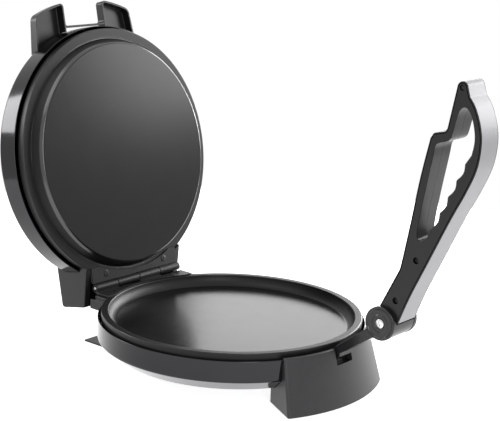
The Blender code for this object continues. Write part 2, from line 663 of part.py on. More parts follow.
def make_hinge_housing():
    """A hood behind the lid: two cheeks that carry the leaf, a back and a top."""
    top, nose = LID_FLANGE_Z + HOUSING_HEIGHT, LID_FLANGE_Z - HOUSING_NOSE_DROP
    corner = arc((HOUSING_BACK - HOUSING_ROUNDING, top - HOUSING_ROUNDING), HOUSING_ROUNDING,
                 0, QUARTER_TURN, ARC_STEPS)
    outline = [(HOUSING_FRONT, nose), (LEAF_FRONT, nose),
               (HOUSING_BACK, LID_FLANGE_Z + HOUSING_HEEL_RISE)] + corner + [(HOUSING_FRONT, top)]
    housing = prism("lid_hinge_housing", outline, -HOUSING_HALF_WIDTH, HOUSING_HALF_WIDTH, "X")
    inner = HOUSING_HALF_WIDTH - HOUSING_WALL
    hollow = rectangle((HOUSING_FRONT - OVERRUN, DISC_Z),
                       (HOUSING_BACK - HOUSING_SKIN, top - HOUSING_SKIN))
    return cut(housing, prism("hollow", hollow, -inner, inner, "X"), lid_cutter("lid"))


def prong_outline(inset):
    """Plan of the right prong at the rim, drawn in by an inset at every free side."""
    reach = FORK_REACH - inset
    nose, heel = (max(radius - inset, FORK_WALL / 2) for radius in (FORK_NOSE, FORK_CORNER))
    left, right = FORK_GAP_HALF + inset + nose, FORK_HALF_WIDTH - inset - heel
    start, end = -math.acos(left / (reach - nose)), -math.acos(right / (reach - heel))
    outline = [(left - nose, -FORK_ROOT)]
    outline += arc((left, (reach - nose) * math.sin(start)), nose, -math.pi, start)
    outline += arc((0, 0), reach, start, end)[1:-1]
    outline += arc((right, (reach - heel) * math.sin(end)), heel, end, 0)
    return outline + [(FORK_HALF_WIDTH + FORK_FLARE - inset, -FORK_ROOT)]


def make_guide_fork():
    """Two hollow prongs and the bar between them that the lever presses on."""
    low = LID_WALL_Z - FORK_DROP
    high = low + FORK_DEPTH
    fork = prism("guide_fork", rectangle((-FORK_GAP_HALF - FORK_WALL, -FORK_BAR_FRONT),
                                         (FORK_GAP_HALF + FORK_WALL, -FORK_BAR_BACK)),
                 low, high - FORK_BAR_DROP, "Z")
    for side in (1, -1):
        mirror = Matrix.Diagonal((side, 1, 1, 1))
        shell = loft("shell", prong_outline(0), prong_outline(FORK_DRAFT), low, high, "Z")
        hollow = loft("hollow", prong_outline(FORK_WALL), prong_outline(FORK_WALL + FORK_DRAFT),
                      low - FORK_WALL, high - FORK_WALL, "Z")
        cut(shell, hollow)
        placed(shell, mirror)
        if side < 0:
            shell.data.flip_normals()
        join(fork, shell)
    return cut(fork, lid_cutter("lid"))


# Inside each half

def post_places():
    return [(POST_RING * math.cos(a), POST_RING * math.sin(a)) for a in POST_ANGLES]


def make_post(name, seat, shoulder, end, place):
    """A bored standoff with a shoulder for the heat shield, from its seat to its end."""
    post = turned(name, [(POST_BORE, seat), (POST_RADIUS, seat), (POST_RADIUS, shoulder),
                         (POST_NECK, shoulder), (POST_NECK, end), (POST_BORE, end)], SCREW_SIDES)
    return placed(post, Matrix.Translation((*place, 0)))


def make_shield(name, low):
    shield = turned(name, [(SHIELD_HOLE, low), (SHIELD_RADIUS, low),
                           (SHIELD_RADIUS, low + SHIELD_SHEET), (SHIELD_HOLE, low + SHIELD_SHEET)],
                    LARGE_SIDES // 2)
    for place in post_places():
        cut(shield, drill(POST_NECK + GAP, low - OVERRUN, low + OVERRUN, place))
    for place in (element_ring()[0], element_ring()[-1]):
        cut(shield, drill(ELEMENT_TUBE + GAP, low - OVERRUN, low + OVERRUN, place))
    return shield


def element_ring():
    """Plan of the heater, open towards the hinge."""
    half = math.asin(ELEMENT_OPENING / (2 * ELEMENT_RADIUS))
    start = QUARTER_TURN + half
    return arc((0, 0), ELEMENT_RADIUS, start, start + FULL_TURN - 2 * half, ELEMENT_POINTS)


def make_element(name, level, turn_away):
    """A tubular heater, an open ring with two cold ends turned away from its plate."""
    ring = element_ring()
    points = [(x, y, level) for x, y in ring]
    away = level + turn_away * TERMINAL_LENGTH
    points = [(*ring[0], away)] + points + [(*ring[-1], away)]
    curve = bpy.data.curves.new(name, "CURVE")
    curve.dimensions = "3D"
    curve.bevel_depth = ELEMENT_TUBE
    curve.bevel_resolution = 1
    curve.use_fill_caps = True
    spline = curve.splines.new("POLY")
    spline.points.add(len(points) - 1)
    for point, place in zip(spline.points, points):
        point.co = (*place, 1.0)
    piece = bpy.data.objects.new(name, curve)
    bpy.context.scene.collection.objects.link(piece)
    return piece


def make_cord_gland():
    """A stepped bush through the pan's wall, bored for a cord."""
    bore = GLAND_NECK / 2
    wall = CASING_RADIUS
    gland = turned("cord_gland", [
        (bore, wall - OVERRUN), (GLAND_NECK, wall - OVERRUN), (GLAND_NECK, wall + GAP),
        (GLAND_RADIUS, wall + GAP), (GLAND_RADIUS, wall + GLAND_LENGTH / 2),
        (GLAND_NECK, wall + GLAND_LENGTH), (bore, wall + GLAND_LENGTH)], SMALL_SIDES)
    placed(gland, Matrix.Rotation(QUARTER_TURN, 4, "Y"))
    lift = Matrix.Translation((0, 0, CASING_TOP_Z - GLAND_DROP))
    return placed(gland, lift @ Matrix.Rotation(GLAND_ANGLE, 4, "Z"))


# Pivot arm

def pivot_circle(radius, sides=SMALL_SIDES):
    return circle((-PIVOT_FORWARD, PIVOT_Z), radius, sides)


def make_pivot_arm():
    """One casting: a foot in the notch, an arm, an eye on the shaft and an open collar."""
    half = ARM_WIDTH / 2
    pivot = (-PIVOT_FORWARD, PIVOT_Z)
    foot_face = -CASING_RADIUS - ARM_FOOT_REACH
    foot_low = NOTCH_Z + GAP
    foot = prism("pivot_arm", rectangle((-CASING_RADIUS - ARM_BLOCK_REACH, foot_low),
                                        (-CASING_BOTTOM_RADIUS, FOOT_TOP_Z)),
                 -NOTCH_WIDTH / 2 + GAP, NOTCH_WIDTH / 2 - GAP, "X")
    rise = math.atan2(PIVOT_Z - FOOT_TOP_Z, PIVOT_FORWARD - CASING_RADIUS)
    across = Vector((math.sin(rise), math.cos(rise))) * EYE_RADIUS
    top, base = across * ARM_NECK_TOP_SHARE, across * ARM_NECK_BASE_SHARE
    outline = [(foot_face, FOOT_TOP_Z - ARM_THICKNESS / 2), (foot_face, FOOT_TOP_Z - ARM_THICKNESS),
               (-CASING_RADIUS + GAP, foot_low), (-CASING_BOTTOM_RADIUS, FOOT_TOP_Z),
               (-CASING_RADIUS, FOOT_TOP_Z + EDGE_BEVEL),
               (pivot[0] + top.x, pivot[1] + top.y), (pivot[0] - base.x, pivot[1] - base.y)]
    arm = prism("arm", outline, -half, half, "X")
    eye = prism("eye", pivot_circle(EYE_RADIUS), -half, half, "X")
    sector = (arc(pivot, COLLAR_OUTER, COLLAR_FRONT_ANGLE, COLLAR_BACK_ANGLE, SMALL_SIDES)
              + arc(pivot, COLLAR_INNER, COLLAR_BACK_ANGLE, COLLAR_FRONT_ANGLE, SMALL_SIDES))
    collar = prism("collar", sector, -LEVER_WIDTH / 2, LEVER_WIDTH / 2, "X")
    join(foot, arm, eye, collar)
    bore = prism("bore", pivot_circle(SHAFT_RADIUS + GAP), -CAP_FACE, CAP_FACE, "X")
    return cut(foot, bore, casing_cutter_above_floor("casing"))


def make_pivot_shaft():
    half = LEVER_WIDTH / 2
    shaft = prism("pivot_shaft", pivot_circle(SHAFT_RADIUS), -half, half, "X")
    for side in (-1, 1):
        ends = sorted((side * (half - CAP_SCREW_DEPTH), side * (half + OVERRUN)))
        cut(shaft, prism("bore", pivot_circle(CAP_SCREW_SHANK + GAP, SCREW_SIDES), *ends, "X"))
    return shaft


def at_pivot(piece, side):
    """Turn a piece drawn along Z to face the left (-1) or right (1) side of the pivot."""
    turn = Matrix.Rotation(side * QUARTER_TURN, 4, "Y")
    return placed(piece, Matrix.Translation(PIVOT_POINT) @ turn)


def make_pivot_cap(name, side):
    """A disc with a raised rim, a dished ring and a well for its screw."""
    seat, well = LEVER_WIDTH / 2 + GAP, CAP_FACE - CAP_SINK
    bore, rim = CAP_SCREW_SHANK + GAP, CAP_RADIUS - EDGE_BEVEL
    well_radius = CAP_SCREW_RADIUS + GAP
    cap = turned(name, [
        (bore, seat), (CAP_RADIUS, seat), (CAP_RADIUS, CAP_FACE - EDGE_BEVEL), (rim, CAP_FACE),
        (rim - EDGE_BEVEL, CAP_FACE), (rim - 2 * EDGE_BEVEL, CAP_FACE - EDGE_BEVEL / 2),
        (well_radius + EDGE_BEVEL, CAP_FACE - EDGE_BEVEL / 2),
        (well_radius, CAP_FACE - EDGE_BEVEL), (well_radius, well), (bore, well)],
        LARGE_SIDES // 2)
    return at_pivot(cap, side)


def make_cap_screw(name, side):
    well = CAP_FACE - CAP_SINK
    depth = well - LEVER_WIDTH / 2 + CAP_SCREW_DEPTH - GAP
    piece = turned(name, [(0, well + GAP - depth), (CAP_SCREW_SHANK, well + GAP - depth),
                          (CAP_SCREW_SHANK, well + GAP), (CAP_SCREW_RADIUS, well + GAP),
                          (CAP_SCREW_RADIUS, well + CAP_SINK / 2), (0, well + CAP_SINK)],
                   SMALL_SIDES)
    return at_pivot(piece, side)


# Lever, drawn upright at the origin

def lever_back():
    """The outer edge from the collar, over the bow and round the tip."""
    run = smooth_line(scaled(OUTER_SHARES), 3)
    tip = arc((0, LEVER_LENGTH), TIP_RADIUS, TIP_START_ANGLE, 0, TIP_STEPS)
    return run + tip


def finger_line():
    """The scalloped side of the hand loop, one hollow for each finger."""
    start, end = (Vector(point) for point in scaled((FINGER_START_SHARE, FINGER_END_SHARE)))
    points = []
    steps = FINGER_COUNT * 4
    for i in range(steps + 1):
        wave = abs(math.sin(math.pi * FINGER_COUNT * i / steps))
        point = start.lerp(end, i / steps)
        points.append((point.x + FINGER_DEPTH * (1 - wave), point.y))
    return points


def lever_screw_places():
    return scaled(LEVER_SCREW_SHARES)


def make_lever_half(name, side):
    """One moulded half, with its hand loop, hub cheek, cover channel and screw holes."""
    half, split = LEVER_WIDTH / 2, GAP / 2
    back = lever_back()
    press = scaled(PRESS_SHARES)
    start, end = (math.atan2(point[1], point[0]) for point in (press[-1], back[0]))
    hub = arc((0, 0), HUB_RADIUS, start, end - FULL_TURN, SMALL_SIDES)
    body = prism(name, back + press + hub, *sorted((side * split, side * half)), "X")
    loop = smooth_line(scaled(LOOP_SHARES), 2) + finger_line() + scaled((LOOP_END_SHARE,))
    cut(body, prism("loop", loop, -CAP_FACE, CAP_FACE, "X"))
    track = stretched(back, GAP)
    channel = offset_line(track, -COVER_SHEET - GAP) + offset_line(track, OVERRUN)[::-1]
    lip = half - COVER_INSET + GAP
    cut(body, prism("channel", channel, -lip, lip, "X"))
    cheek = ARM_WIDTH / 2 + GAP
    cut(body, rod("room", HUB_CLEAR_RADIUS, -cheek, cheek, "X", (0, 0), SMALL_SIDES),
        rod("bore", SHAFT_RADIUS + GAP, -CAP_FACE, CAP_FACE, "X", (0, 0), SMALL_SIDES),
        rod("tip", TIP_HOLE_RADIUS, -CAP_FACE, CAP_FACE, "X", (0, LEVER_LENGTH)))
    for place in lever_screw_places():
        head_seat = -half + LEVER_SCREW_SINK + LEVER_SCREW_HEAD_HEIGHT
        cut(body, rod("well", LEVER_SCREW_HEAD + GAP, -CAP_FACE, head_seat + GAP, "X", place),
            rod("hole", LEVER_SCREW_SHANK + GAP, -CAP_FACE, cheek, "X", place))
    return body


def make_lever_cover():
    """The bright strip in the channel, from the collar round the tip."""
    back = lever_back()
    strip = back + offset_line(back, -COVER_SHEET)[::-1]
    lip = LEVER_WIDTH / 2 - COVER_INSET
    return prism("lever_cover", strip, -lip, lip, "X")


def make_lever_screw(name, place):
    half = LEVER_WIDTH / 2
    head_low = -half + LEVER_SCREW_SINK
    piece = screw(name, LEVER_SCREW_HEAD, LEVER_SCREW_HEAD_HEIGHT, LEVER_SCREW_SHANK,
                  ARM_WIDTH / 2 - head_low - LEVER_SCREW_HEAD_HEIGHT - GAP)
    placed(piece, Matrix.Rotation(QUARTER_TURN, 4, "Y"))
    return placed(piece, Matrix.Translation((head_low + LEVER_SCREW_HEAD_HEIGHT, *place)))


# Assembly

def axis_empty(name, place, angle):
    empty = bpy.data.objects.new(name, None)
    bpy.context.scene.collection.objects.link(empty)
    empty.location = place
    empty.rotation_euler.x = angle
    return empty


def build_base():
    dress(make_lower_plate(), "nonstick_coating", None)
    dress(make_base_casing(), "dark_sheet_metal", None)
    dress(make_bottom_cover(), "galvanised_steel", None)
    dress(make_front_foot(), "gloss_black_plastic", None)
    dress(make_rear_foot(), "black_steel", None)
    dress(make_hinge_support(), "satin_black_plastic", None)
    dress(make_cord_gland(), "rubber", None)
    for i, (x, y) in enumerate(pad_places()):
        dress(rod(f"foot_pad_{i + 1}", PAD_RADIUS, GROUND_Z, GROUND_Z + PAD_THICKNESS, "Z",
                  (x, y), SMALL_SIDES), "rubber", None)
    build_base_inside()
    build_base_screws()


def build_base_inside():
    plate_back = -PLATE_THICKNESS
    shield_low = plate_back - SHIELD_OFFSET - SHIELD_SHEET
    for i, place in enumerate(post_places()):
        dress(make_post(f"lower_post_{i + 1}", CASING_FLOOR_Z + SHEET + GAP, shield_low - GAP,
                        plate_back - GAP, place), "bright_steel", None)
    dress(make_shield("lower_heat_shield", shield_low), "galvanised_steel", None)
    dress(make_element("lower_element", plate_back - ELEMENT_TUBE - GAP, -1), "bright_steel", None)
    dress(rod("thermostat", THERMOSTAT_RADIUS, plate_back - GAP - THERMOSTAT_HEIGHT,
              plate_back - GAP, "Z", sides=SMALL_SIDES), "ceramic", None)
    dress(rod("thermal_fuse", FUSE_RADIUS, -FUSE_LENGTH / 2, FUSE_LENGTH / 2, "X",
              (-FUSE_OFFSET, plate_back - GAP - FUSE_RADIUS)), "ceramic", None)
    wide, deep, tall = BLOCK_SIZE
    floor = CASING_FLOOR_Z + SHEET + GAP
    dress(prism("terminal_block", rectangle((-wide / 2, BLOCK_BACK - deep), (wide / 2, BLOCK_BACK)),
                floor, floor + tall, "Z"), "ceramic", None)


def build_base_screws():
    """Screws that point up through the pan's floor, each head under what it holds."""
    floor = CASING_FLOOR_Z - GAP
    groups = (("post_screw", post_places(), floor, SCREW_LENGTH),
              ("cover_screw", cover_screw_places(), floor - SHEET - GAP, SCREW_LENGTH / 2),
              ("rear_foot_screw", rear_foot_screw_places(), floor - REAR_FOOT_SHEET - GAP,
               SCREW_LENGTH / 2))
    for name, places, level, length in groups:
        for i, place in enumerate(places):
            piece = screw(f"{name}_{i + 1}", SCREW_HEAD, SCREW_HEAD_HEIGHT, SCREW_SHANK, length)
            placed(piece, Matrix.Translation((*place, level)))
            dress(piece, "bright_steel", None)


def build_hinge(lid):
    for side, name, parent, first in ((-1, "base", None, 0), (1, "lid", lid, 1)):
        dress(make_leaf(f"hinge_leaf_{name}", first, side), "black_steel", parent)
        for i, x in enumerate((-LEAF_SCREW_REACH, LEAF_SCREW_REACH)):
            dress(make_leaf_screw(f"hinge_screw_{name}_{i + 1}", x, side), "black_steel", parent)
    dress(rod("hinge_pin", PIN_RADIUS, -HINGE_HALF_LENGTH, HINGE_HALF_LENGTH, "X",
              (HINGE_BACK, HINGE_Z)), "bright_steel", None)


def build_pivot():
    dress(make_pivot_arm(), "gloss_black_plastic", None)
    dress(make_pivot_shaft(), "bright_steel", None)
    for side, name in ((-1, "left"), (1, "right")):
        dress(make_pivot_cap(f"pivot_cap_{name}", side), "gloss_black_plastic", None)
        dress(make_cap_screw(f"cap_screw_{name}", side), "bright_steel", None)


def build_lid(lid):
    dress(make_upper_plate(), "nonstick_coating", lid)
    dress(make_lid_casing(), "dark_sheet_metal", lid)
    dress(make_hinge_housing(), "satin_black_plastic", lid)
    dress(make_guide_fork(), "satin_black_plastic", lid)
    plate_back = DISC_Z + PLATE_THICKNESS
    shield_low = plate_back + SHIELD_OFFSET
    for i, place in enumerate(post_places()):
        dress(make_post(f"upper_post_{i + 1}", plate_back + GAP, shield_low - GAP,
                        CROWN_Z - SHEET - GAP, place), "bright_steel", lid)
    dress(make_shield("upper_heat_shield", shield_low), "galvanised_steel", lid)
    dress(make_element("upper_element", plate_back + ELEMENT_TUBE + GAP, 1), "bright_steel", lid)
    dress(rod("upper_thermostat", THERMOSTAT_RADIUS, plate_back + GAP,
              plate_back + GAP + THERMOSTAT_HEIGHT, "Z", sides=SMALL_SIDES), "ceramic", lid)


def build_lever(lever):
    for side, name in ((-1, "left"), (1, "right")):
        dress(make_lever_half(f"lever_half_{name}", side), "satin_black_plastic", lever)
    dress(make_lever_cover(), "satin_aluminium", lever)
    reach = LEVER_WIDTH / 2 - COVER_INSET
    dress(rod("lever_tip_pin", TIP_HOLE_RADIUS - GAP, -reach, reach, "X", (0, LEVER_LENGTH)),
          "black_steel", lever)
    for i, place in enumerate(lever_screw_places()):
        dress(make_lever_screw(f"lever_screw_{i + 1}", place), "black_steel", lever)


def main():
    for leftover in list(bpy.data.objects):
        bpy.data.objects.remove(leftover)
    lid = axis_empty("lid_axis", HINGE_POINT, 0)
    lever = axis_empty("lever_axis", PIVOT_POINT, LEVER_LEAN)
    build_base()
    build_pivot()
    build_hinge(lid)
    build_lid(lid)
    build_lever(lever)
    for piece in lid.children:
        piece.matrix_parent_inverse = Matrix.Translation(-HINGE_POINT)
    lid.rotation_euler.x = -LID_OPEN_ANGLE


main()
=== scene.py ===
"""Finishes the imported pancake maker: detailed pieces, materials, floor, light and camera.

Lengths are metres in the model's own frame. Lid pieces are drawn with the lid closed and lever
pieces with the lever upright at its pivot, and are then turned to where they rest.
"""

import math

import bmesh
import bpy
from mathutils import Matrix, Vector


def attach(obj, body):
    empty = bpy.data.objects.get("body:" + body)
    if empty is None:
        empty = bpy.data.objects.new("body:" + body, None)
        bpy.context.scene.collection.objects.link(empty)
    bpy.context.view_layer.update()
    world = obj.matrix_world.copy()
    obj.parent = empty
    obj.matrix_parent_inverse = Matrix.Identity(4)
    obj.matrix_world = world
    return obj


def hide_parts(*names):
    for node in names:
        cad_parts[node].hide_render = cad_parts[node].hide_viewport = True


bl_info = {
    "name": "Pancake Maker Finish",
    "version": (1, 0, 0),
    "blender": (4, 5, 0),
    "location": "View3D > Sidebar > Pancake Maker",
    "description": "Detailed pieces, finishes, floor, lights and camera for the pancake maker",
    "category": "Object",
}

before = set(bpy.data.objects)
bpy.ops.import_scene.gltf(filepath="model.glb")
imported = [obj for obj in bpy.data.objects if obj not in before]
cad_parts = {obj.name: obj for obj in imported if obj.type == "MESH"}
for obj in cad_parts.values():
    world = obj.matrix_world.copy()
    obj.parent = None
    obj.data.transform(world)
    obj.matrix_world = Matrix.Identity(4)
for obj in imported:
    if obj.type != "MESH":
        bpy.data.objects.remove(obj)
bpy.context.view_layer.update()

FULL_TURN = 2 * math.pi
QUARTER_TURN = math.pi / 2
GAP = 0.0003
OVERRUN = 0.006
FINE_ROUNDING = 0.0003
LIP_ROUNDING = 0.0004
SMALL_ROUNDING = 0.0005
EDGE_ROUNDING = 0.0006
SOFT_ROUNDING = 0.0008
SHARP_ANGLE = math.radians(34)
COVER_SHARP_ANGLE = math.radians(50)
MERGE_DISTANCE = 0.000001
MITRE_LIMIT = 0.3

# Steps along curves, and facets where the sizes of the panel don't give them
EDGE_STEPS = 4
CORNER_STEPS = 6
SMOOTH_CORNER_STEPS = 8
CURVE_STEPS = 6
BEAD_STEPS = 8
COVE_STEPS = 16
DISC_EDGE_STEPS = 10
CROWN_STEPS = 28
FOOT_STEPS = 12
FOOT_CORNER_STEPS = 8
POCKET_SIDES = 24
PAD_STEPS = 5
PRONG_CORNER_STEPS = 10
PRONG_STEPS = 12
COLLAR_STEPS = 48
PIVOT_SIDES = 96
BACK_STEPS = 10
TIP_STEPS = 18
HUB_STEPS = 40
FINGER_STEPS = 18
STRIP_STEPS = 3
FLOOR_SIDES = 128

# Plates
PLATE_RADIUS = 0.138
PLATE_THICKNESS = 0.0055
FLANGE_THICKNESS = 0.005
SKIRT_HEIGHT = 0.009
SKIRT_WALL = 0.004
RECESS_DEPTH = 0.0114
RIM_WIDTH = 0.0076
COVE_WIDTH = 0.0094
DISC_RADIUS = 0.1219
DISC_ROUNDING = 0.0025
DISC_SLOPE_WIDTH = 0.0047
DISC_GROOVE_WIDTH = 0.0013
DISC_GROOVE_DEPTH = 0.0009
PLATE_BEND = 0.002
FLANGE_BEND = 0.001
LUG_HALF_WIDTH = 0.07
LUG_FRONT = 0.1
LUG_BACK = 0.1368
LUG_CORNER = 0.003
LUG_EDGE_SHARE = 0.7
FLANGE_Z = 0.0114
LID_FLANGE_Z = 0.0196
DISC_Z = 0.008

# Sheet casings
SHEET = 0.0012
CASING_RADIUS = 0.1418
CASING_BOTTOM_RADIUS = 0.1234
ACCESS_RADIUS = 0.06
COVER_RADIUS = 0.068
COVER_DISH_RADIUS = 0.04
COVER_DISH_SLOPE = 0.003
COVER_DISH_DEPTH = 0.0004
COVER_DISH_EDGE = 0.044
CASING_TOP_Z = 0.0047
CASING_WALL_Z = -0.017
CASING_FLOOR_Z = -0.0308
LID_RIM_Z = 0.0294
LID_WALL_Z = 0.0511
CROWN_Z = 0.0611
CROWN_SHOULDER = 0.031
PAN_BEND = 0.003
GROUND_Z = -0.0496

# Feet
FOOT_TOP_RADIUS = 0.146
FOOT_BOTTOM_RADIUS = 0.1615
FOOT_INNER_RADIUS = 0.115
FOOT_TOP_Z = 0.0069
FOOT_BOTTOM_Z = -0.049
FOOT_HALF_ANGLE = math.radians(28.8)
FOOT_POCKET_WALL = 0.004
FOOT_POCKET_HALF_ANGLE = math.radians(18)
NOTCH_WIDTH = 0.025
NOTCH_Z = -0.0086
NOTCH_FRONT = 0.18
NOTCH_BACK = 0.1
PAD_RADIUS = 0.006
PAD_THICKNESS = 0.003
PAD_HALF_ANGLE = math.radians(24)
PAD_DIMPLE_RADIUS = 0.0039
PAD_DIMPLE_DEPTH = 0.0003
REAR_FOOT_HALF_WIDTH = 0.06
REAR_FOOT_BACK = 0.162
REAR_FOOT_WEB = 0.106
REAR_FOOT_LAP = 0.018
REAR_FOOT_SHEET = 0.0018
REAR_FOOT_BEND = 0.0012

# Hinge and its housing
HINGE_BACK = 0.1407
HINGE_Z = 0.0173
HINGE_HALF_LENGTH = 0.066
KNUCKLE_RADIUS = 0.0045
KNUCKLE_COUNT = 4
PIN_RADIUS = 0.0016
LEAF_THICKNESS = 0.0016
LEAF_FRONT = 0.119
LEAF_SCREW_REACH = 0.045
LEAF_SCREW_BACK = 0.128
LEAF_BOWL_GAP = 0.0006
LEAF_SCREW_SHARE = 0.7
LEAF_SCREW_DOME = 0.3
TONGUE_SINK = 0.00005
LID_OPEN_ANGLE = math.radians(101.7)
SUPPORT_BACK = 0.144
SUPPORT_HEIGHT = 0.011
SUPPORT_CORNER = 0.0015
HOUSING_HALF_WIDTH = 0.0737
HOUSING_WALL = 0.0068
HOUSING_SKIN = 0.003
HOUSING_FRONT = 0.114
HOUSING_BACK = 0.161
HOUSING_HEIGHT = 0.0456
HOUSING_NOSE_DROP = 0.002
HOUSING_HEEL_RISE = 0.01
HOUSING_ROUNDING = 0.004
HOUSING_NOSE_ROUNDING = 0.0018
HOUSING_THROAT_ROUNDING = 0.003
HOUSING_HEEL_ROUNDING = 0.0025
HOUSING_HOLLOW_ROUNDING = 0.002
HOUSING_EDGE_SHARE = 1.4

# Guide fork
FORK_REACH = 0.1736
FORK_ROOT = 0.118
FORK_LOW = 0.0471
FORK_DEPTH = 0.0115
FORK_GAP_HALF = 0.029
FORK_HALF_WIDTH = 0.071
FORK_FLARE = 0.0045
FORK_CORNER = 0.01
FORK_NOSE = 0.0045
FORK_WALL = 0.002
FORK_DRAFT = 0.0008
FORK_BAR_BACK = 0.1434
FORK_BAR_FRONT = 0.1456
FORK_BAR_DROP = 0.0008
FORK_BAR_BITE_SHARE = 0.8
FORK_FILLET = 0.003
MOUTH_EDGE_SHARE = 0.6

# Pivot
PIVOT_FORWARD = 0.2013
PIVOT_Z = 0.049
CAP_RADIUS = 0.0168
CAP_FACE = 0.0202
CAP_SINK = 0.0018
COLLAR_OUTER = 0.0164
COLLAR_INNER = 0.0132
COLLAR_FRONT_ANGLE = math.radians(175.5)
COLLAR_BACK_ANGLE = math.radians(327.5)
EYE_RADIUS = 0.014
ARM_WIDTH = 0.0204
ARM_FOOT_REACH = 0.0085
ARM_THICKNESS = 0.0068
ARM_NECK_TOP_SHARE = 0.25
ARM_NECK_BASE_SHARE = 0.6
ARM_BLOCK_REACH = 0.0012
ARM_ROOT_FILLET = 0.004
EYE_PROUD = 0.00004
ARM_CORNER = 0.001
SHAFT_RADIUS = 0.0045
CAP_SCREW_RADIUS = 0.0046
CAP_SCREW_SHANK = (0.0018, 0.0094)
CAP_SCREW_TURN = 0.5
CAP_SCREW_DOME = 0.45
CAP_BORE = 0.0021
# In from the cap's edge or out from its screw's well, down from its face, and rounding
CAP_RIM = ((0.0, 0.0, 0.0013), (0.0022, 0.0, 0.0008), (0.0032, 0.001, 0.0008))
CAP_BOSS = ((0.0042, 0.001, 0.0006), (0.0034, 0.0004, 0.0005), (0.0007, 0.0004, 0.0005),
            (0.0, 0.0011, 0.0003))

# Lever, with the pivot at the origin: along it, and outward from the cooker
LEVER_LENGTH = 0.2457
LEVER_DEPTH = 0.04
LEVER_HALF_WIDTH = 0.015
LEVER_LEAN = math.radians(16.5)
HUB_RADIUS = 0.0128
HUB_CLEAR_RADIUS = 0.022
TIP_RADIUS = 0.0056
TIP_START_ANGLE = math.radians(155)
TIP_HOLE_RADIUS = 0.0028
COVER_SHEET = 0.0012
COVER_INSET = 0.0012
SPLIT_ROUNDING = 0.00025
FINGER_COUNT = 4
FINGER_DEPTH = 0.0025
FINGER_RIDGE = 0.2
LEVER_LINE = 0.001
# How far in and how deep each point of a fine groove is, as shares of its width
LINE_SHARES = ((0.2, 0.8), (0.8, 0.8), (1.0, 0.0))
LEVER_SCREW_HEAD = 0.0031
LEVER_SCREW_SINK = 0.0018
LEVER_SCREW_HEIGHT = 0.002
LEVER_SCREW_SHANK = 0.0017
OUTER_SHARES = ((0.033, 0.4), (0.16, 0.47), (0.34, 0.635), (0.52, 0.8), (0.64, 0.935),
                (0.738, 1.0), (0.82, 0.935), (0.886, 0.78), (0.948, 0.5), (0.98, 0.25))
SHOULDER_SHARES = ((0.834, -0.035), (0.82, -0.065), (0.808, -0.19), (0.795, -0.325))
SHOULDER_ROUNDINGS = (0.004, 0.003, 0.0, 0.003)
TAIL_SHARES = ((0.771, -0.367), (0.615, -0.293), (0.431, -0.155), (0.266, -0.042),
               (0.236, -0.032))
TAIL_END_SHARE = (0.059, -0.22)
LOOP_SHARES = ((0.383, 0.23), (0.391, 0.14), (0.44, 0.055), (0.56, -0.045), (0.70, -0.14),
               (0.752, -0.178), (0.773, -0.09), (0.786, 0.045), (0.799, 0.112),
               (0.82, 0.132), (0.9, 0.107),
               (0.93, 0.16), (0.936, 0.28), (0.915, 0.45), (0.87, 0.63), (0.83, 0.72),
               (0.785, 0.752))
FINGER_START_SHARE = (0.745, 0.74)
FINGER_END_SHARE = (0.452, 0.47)
LOOP_END_SHARE = (0.41, 0.37)
LEVER_SCREW_SHARES = ((0.306, 0.31), (0.113, 0.14))

# Screws, posts and the cord's bush
SCREW_HEAD = 0.004
SCREW_HEAD_HEIGHT = 0.002
SCREW_SHANK = 0.0019
SCREW_LENGTH = 0.012
# Shares of a screw's shank, and of its head's radius and height
SCREW_TIP_SHARE = 0.7
SCREW_CHAMFER_SHARE = 0.97
SCREW_DOME = 0.35
SCREW_DOME_SHARE = 0.9
SCREW_DOME_START = math.radians(20)
CROSS_REACH_SHARE = 0.62
CROSS_FLOOR_SHARE = 0.3
CROSS_TOP_SHARE = 1.4
CROSS_TIP_SHARE = 0.6
POST_RING = 0.095
POST_BEARINGS = (30, 150, 270)
COVER_SCREW_RING = 0.064
COVER_SCREW_BEARINGS = (17, 137, 257)
GLAND_ANGLE = math.radians(40)
GLAND_RADIUS = 0.0065
GLAND_NECK = 0.005
GLAND_LENGTH = 0.012
GLAND_Z = -0.0073
GLAND_FLANGE = 0.003
GLAND_ROOT = 0.0036
GLAND_ROOT_RADIUS = 0.0054
RIB_COUNT = 4
RIB_PITCH = 0.0021
RIB_DROP = 0.0004
RIB_TAPER = 0.0003
# How far each point of a rib stands from its crest, and how far along it is
RIB = ((0.0008, 0.0), (0.0008, 0.0006), (0.0, 0.0009), (0.0, 0.0018), (0.0006, 0.0021))

LID_OPEN = (Matrix.Translation((0, HINGE_BACK, HINGE_Z)) @ Matrix.Rotation(-LID_OPEN_ANGLE, 4, "X")
            @ Matrix.Translation((0, -HINGE_BACK, -HINGE_Z)))
LEVER_REST = (Matrix.Translation((0, -PIVOT_FORWARD, PIVOT_Z))
              @ Matrix.Rotation(LEVER_LEAN, 4, "X"))
POSES = {"lid": LID_OPEN, "lever": LEVER_REST}

# The camera, from the photograph's round edges
CAMERA_PLACE = (-1.0794, -0.9137, 0.4670)
CAMERA_YAW = 0.8748
CAMERA_PITCH = 0.2371
CAMERA_ROLL = 0.0355
CAMERA_FOCUS = 1397.7351
CAMERA_CENTRE = (244.3026, 205.7396)
PICTURE_SIZE = (500, 421)
SENSOR_WIDTH = 36

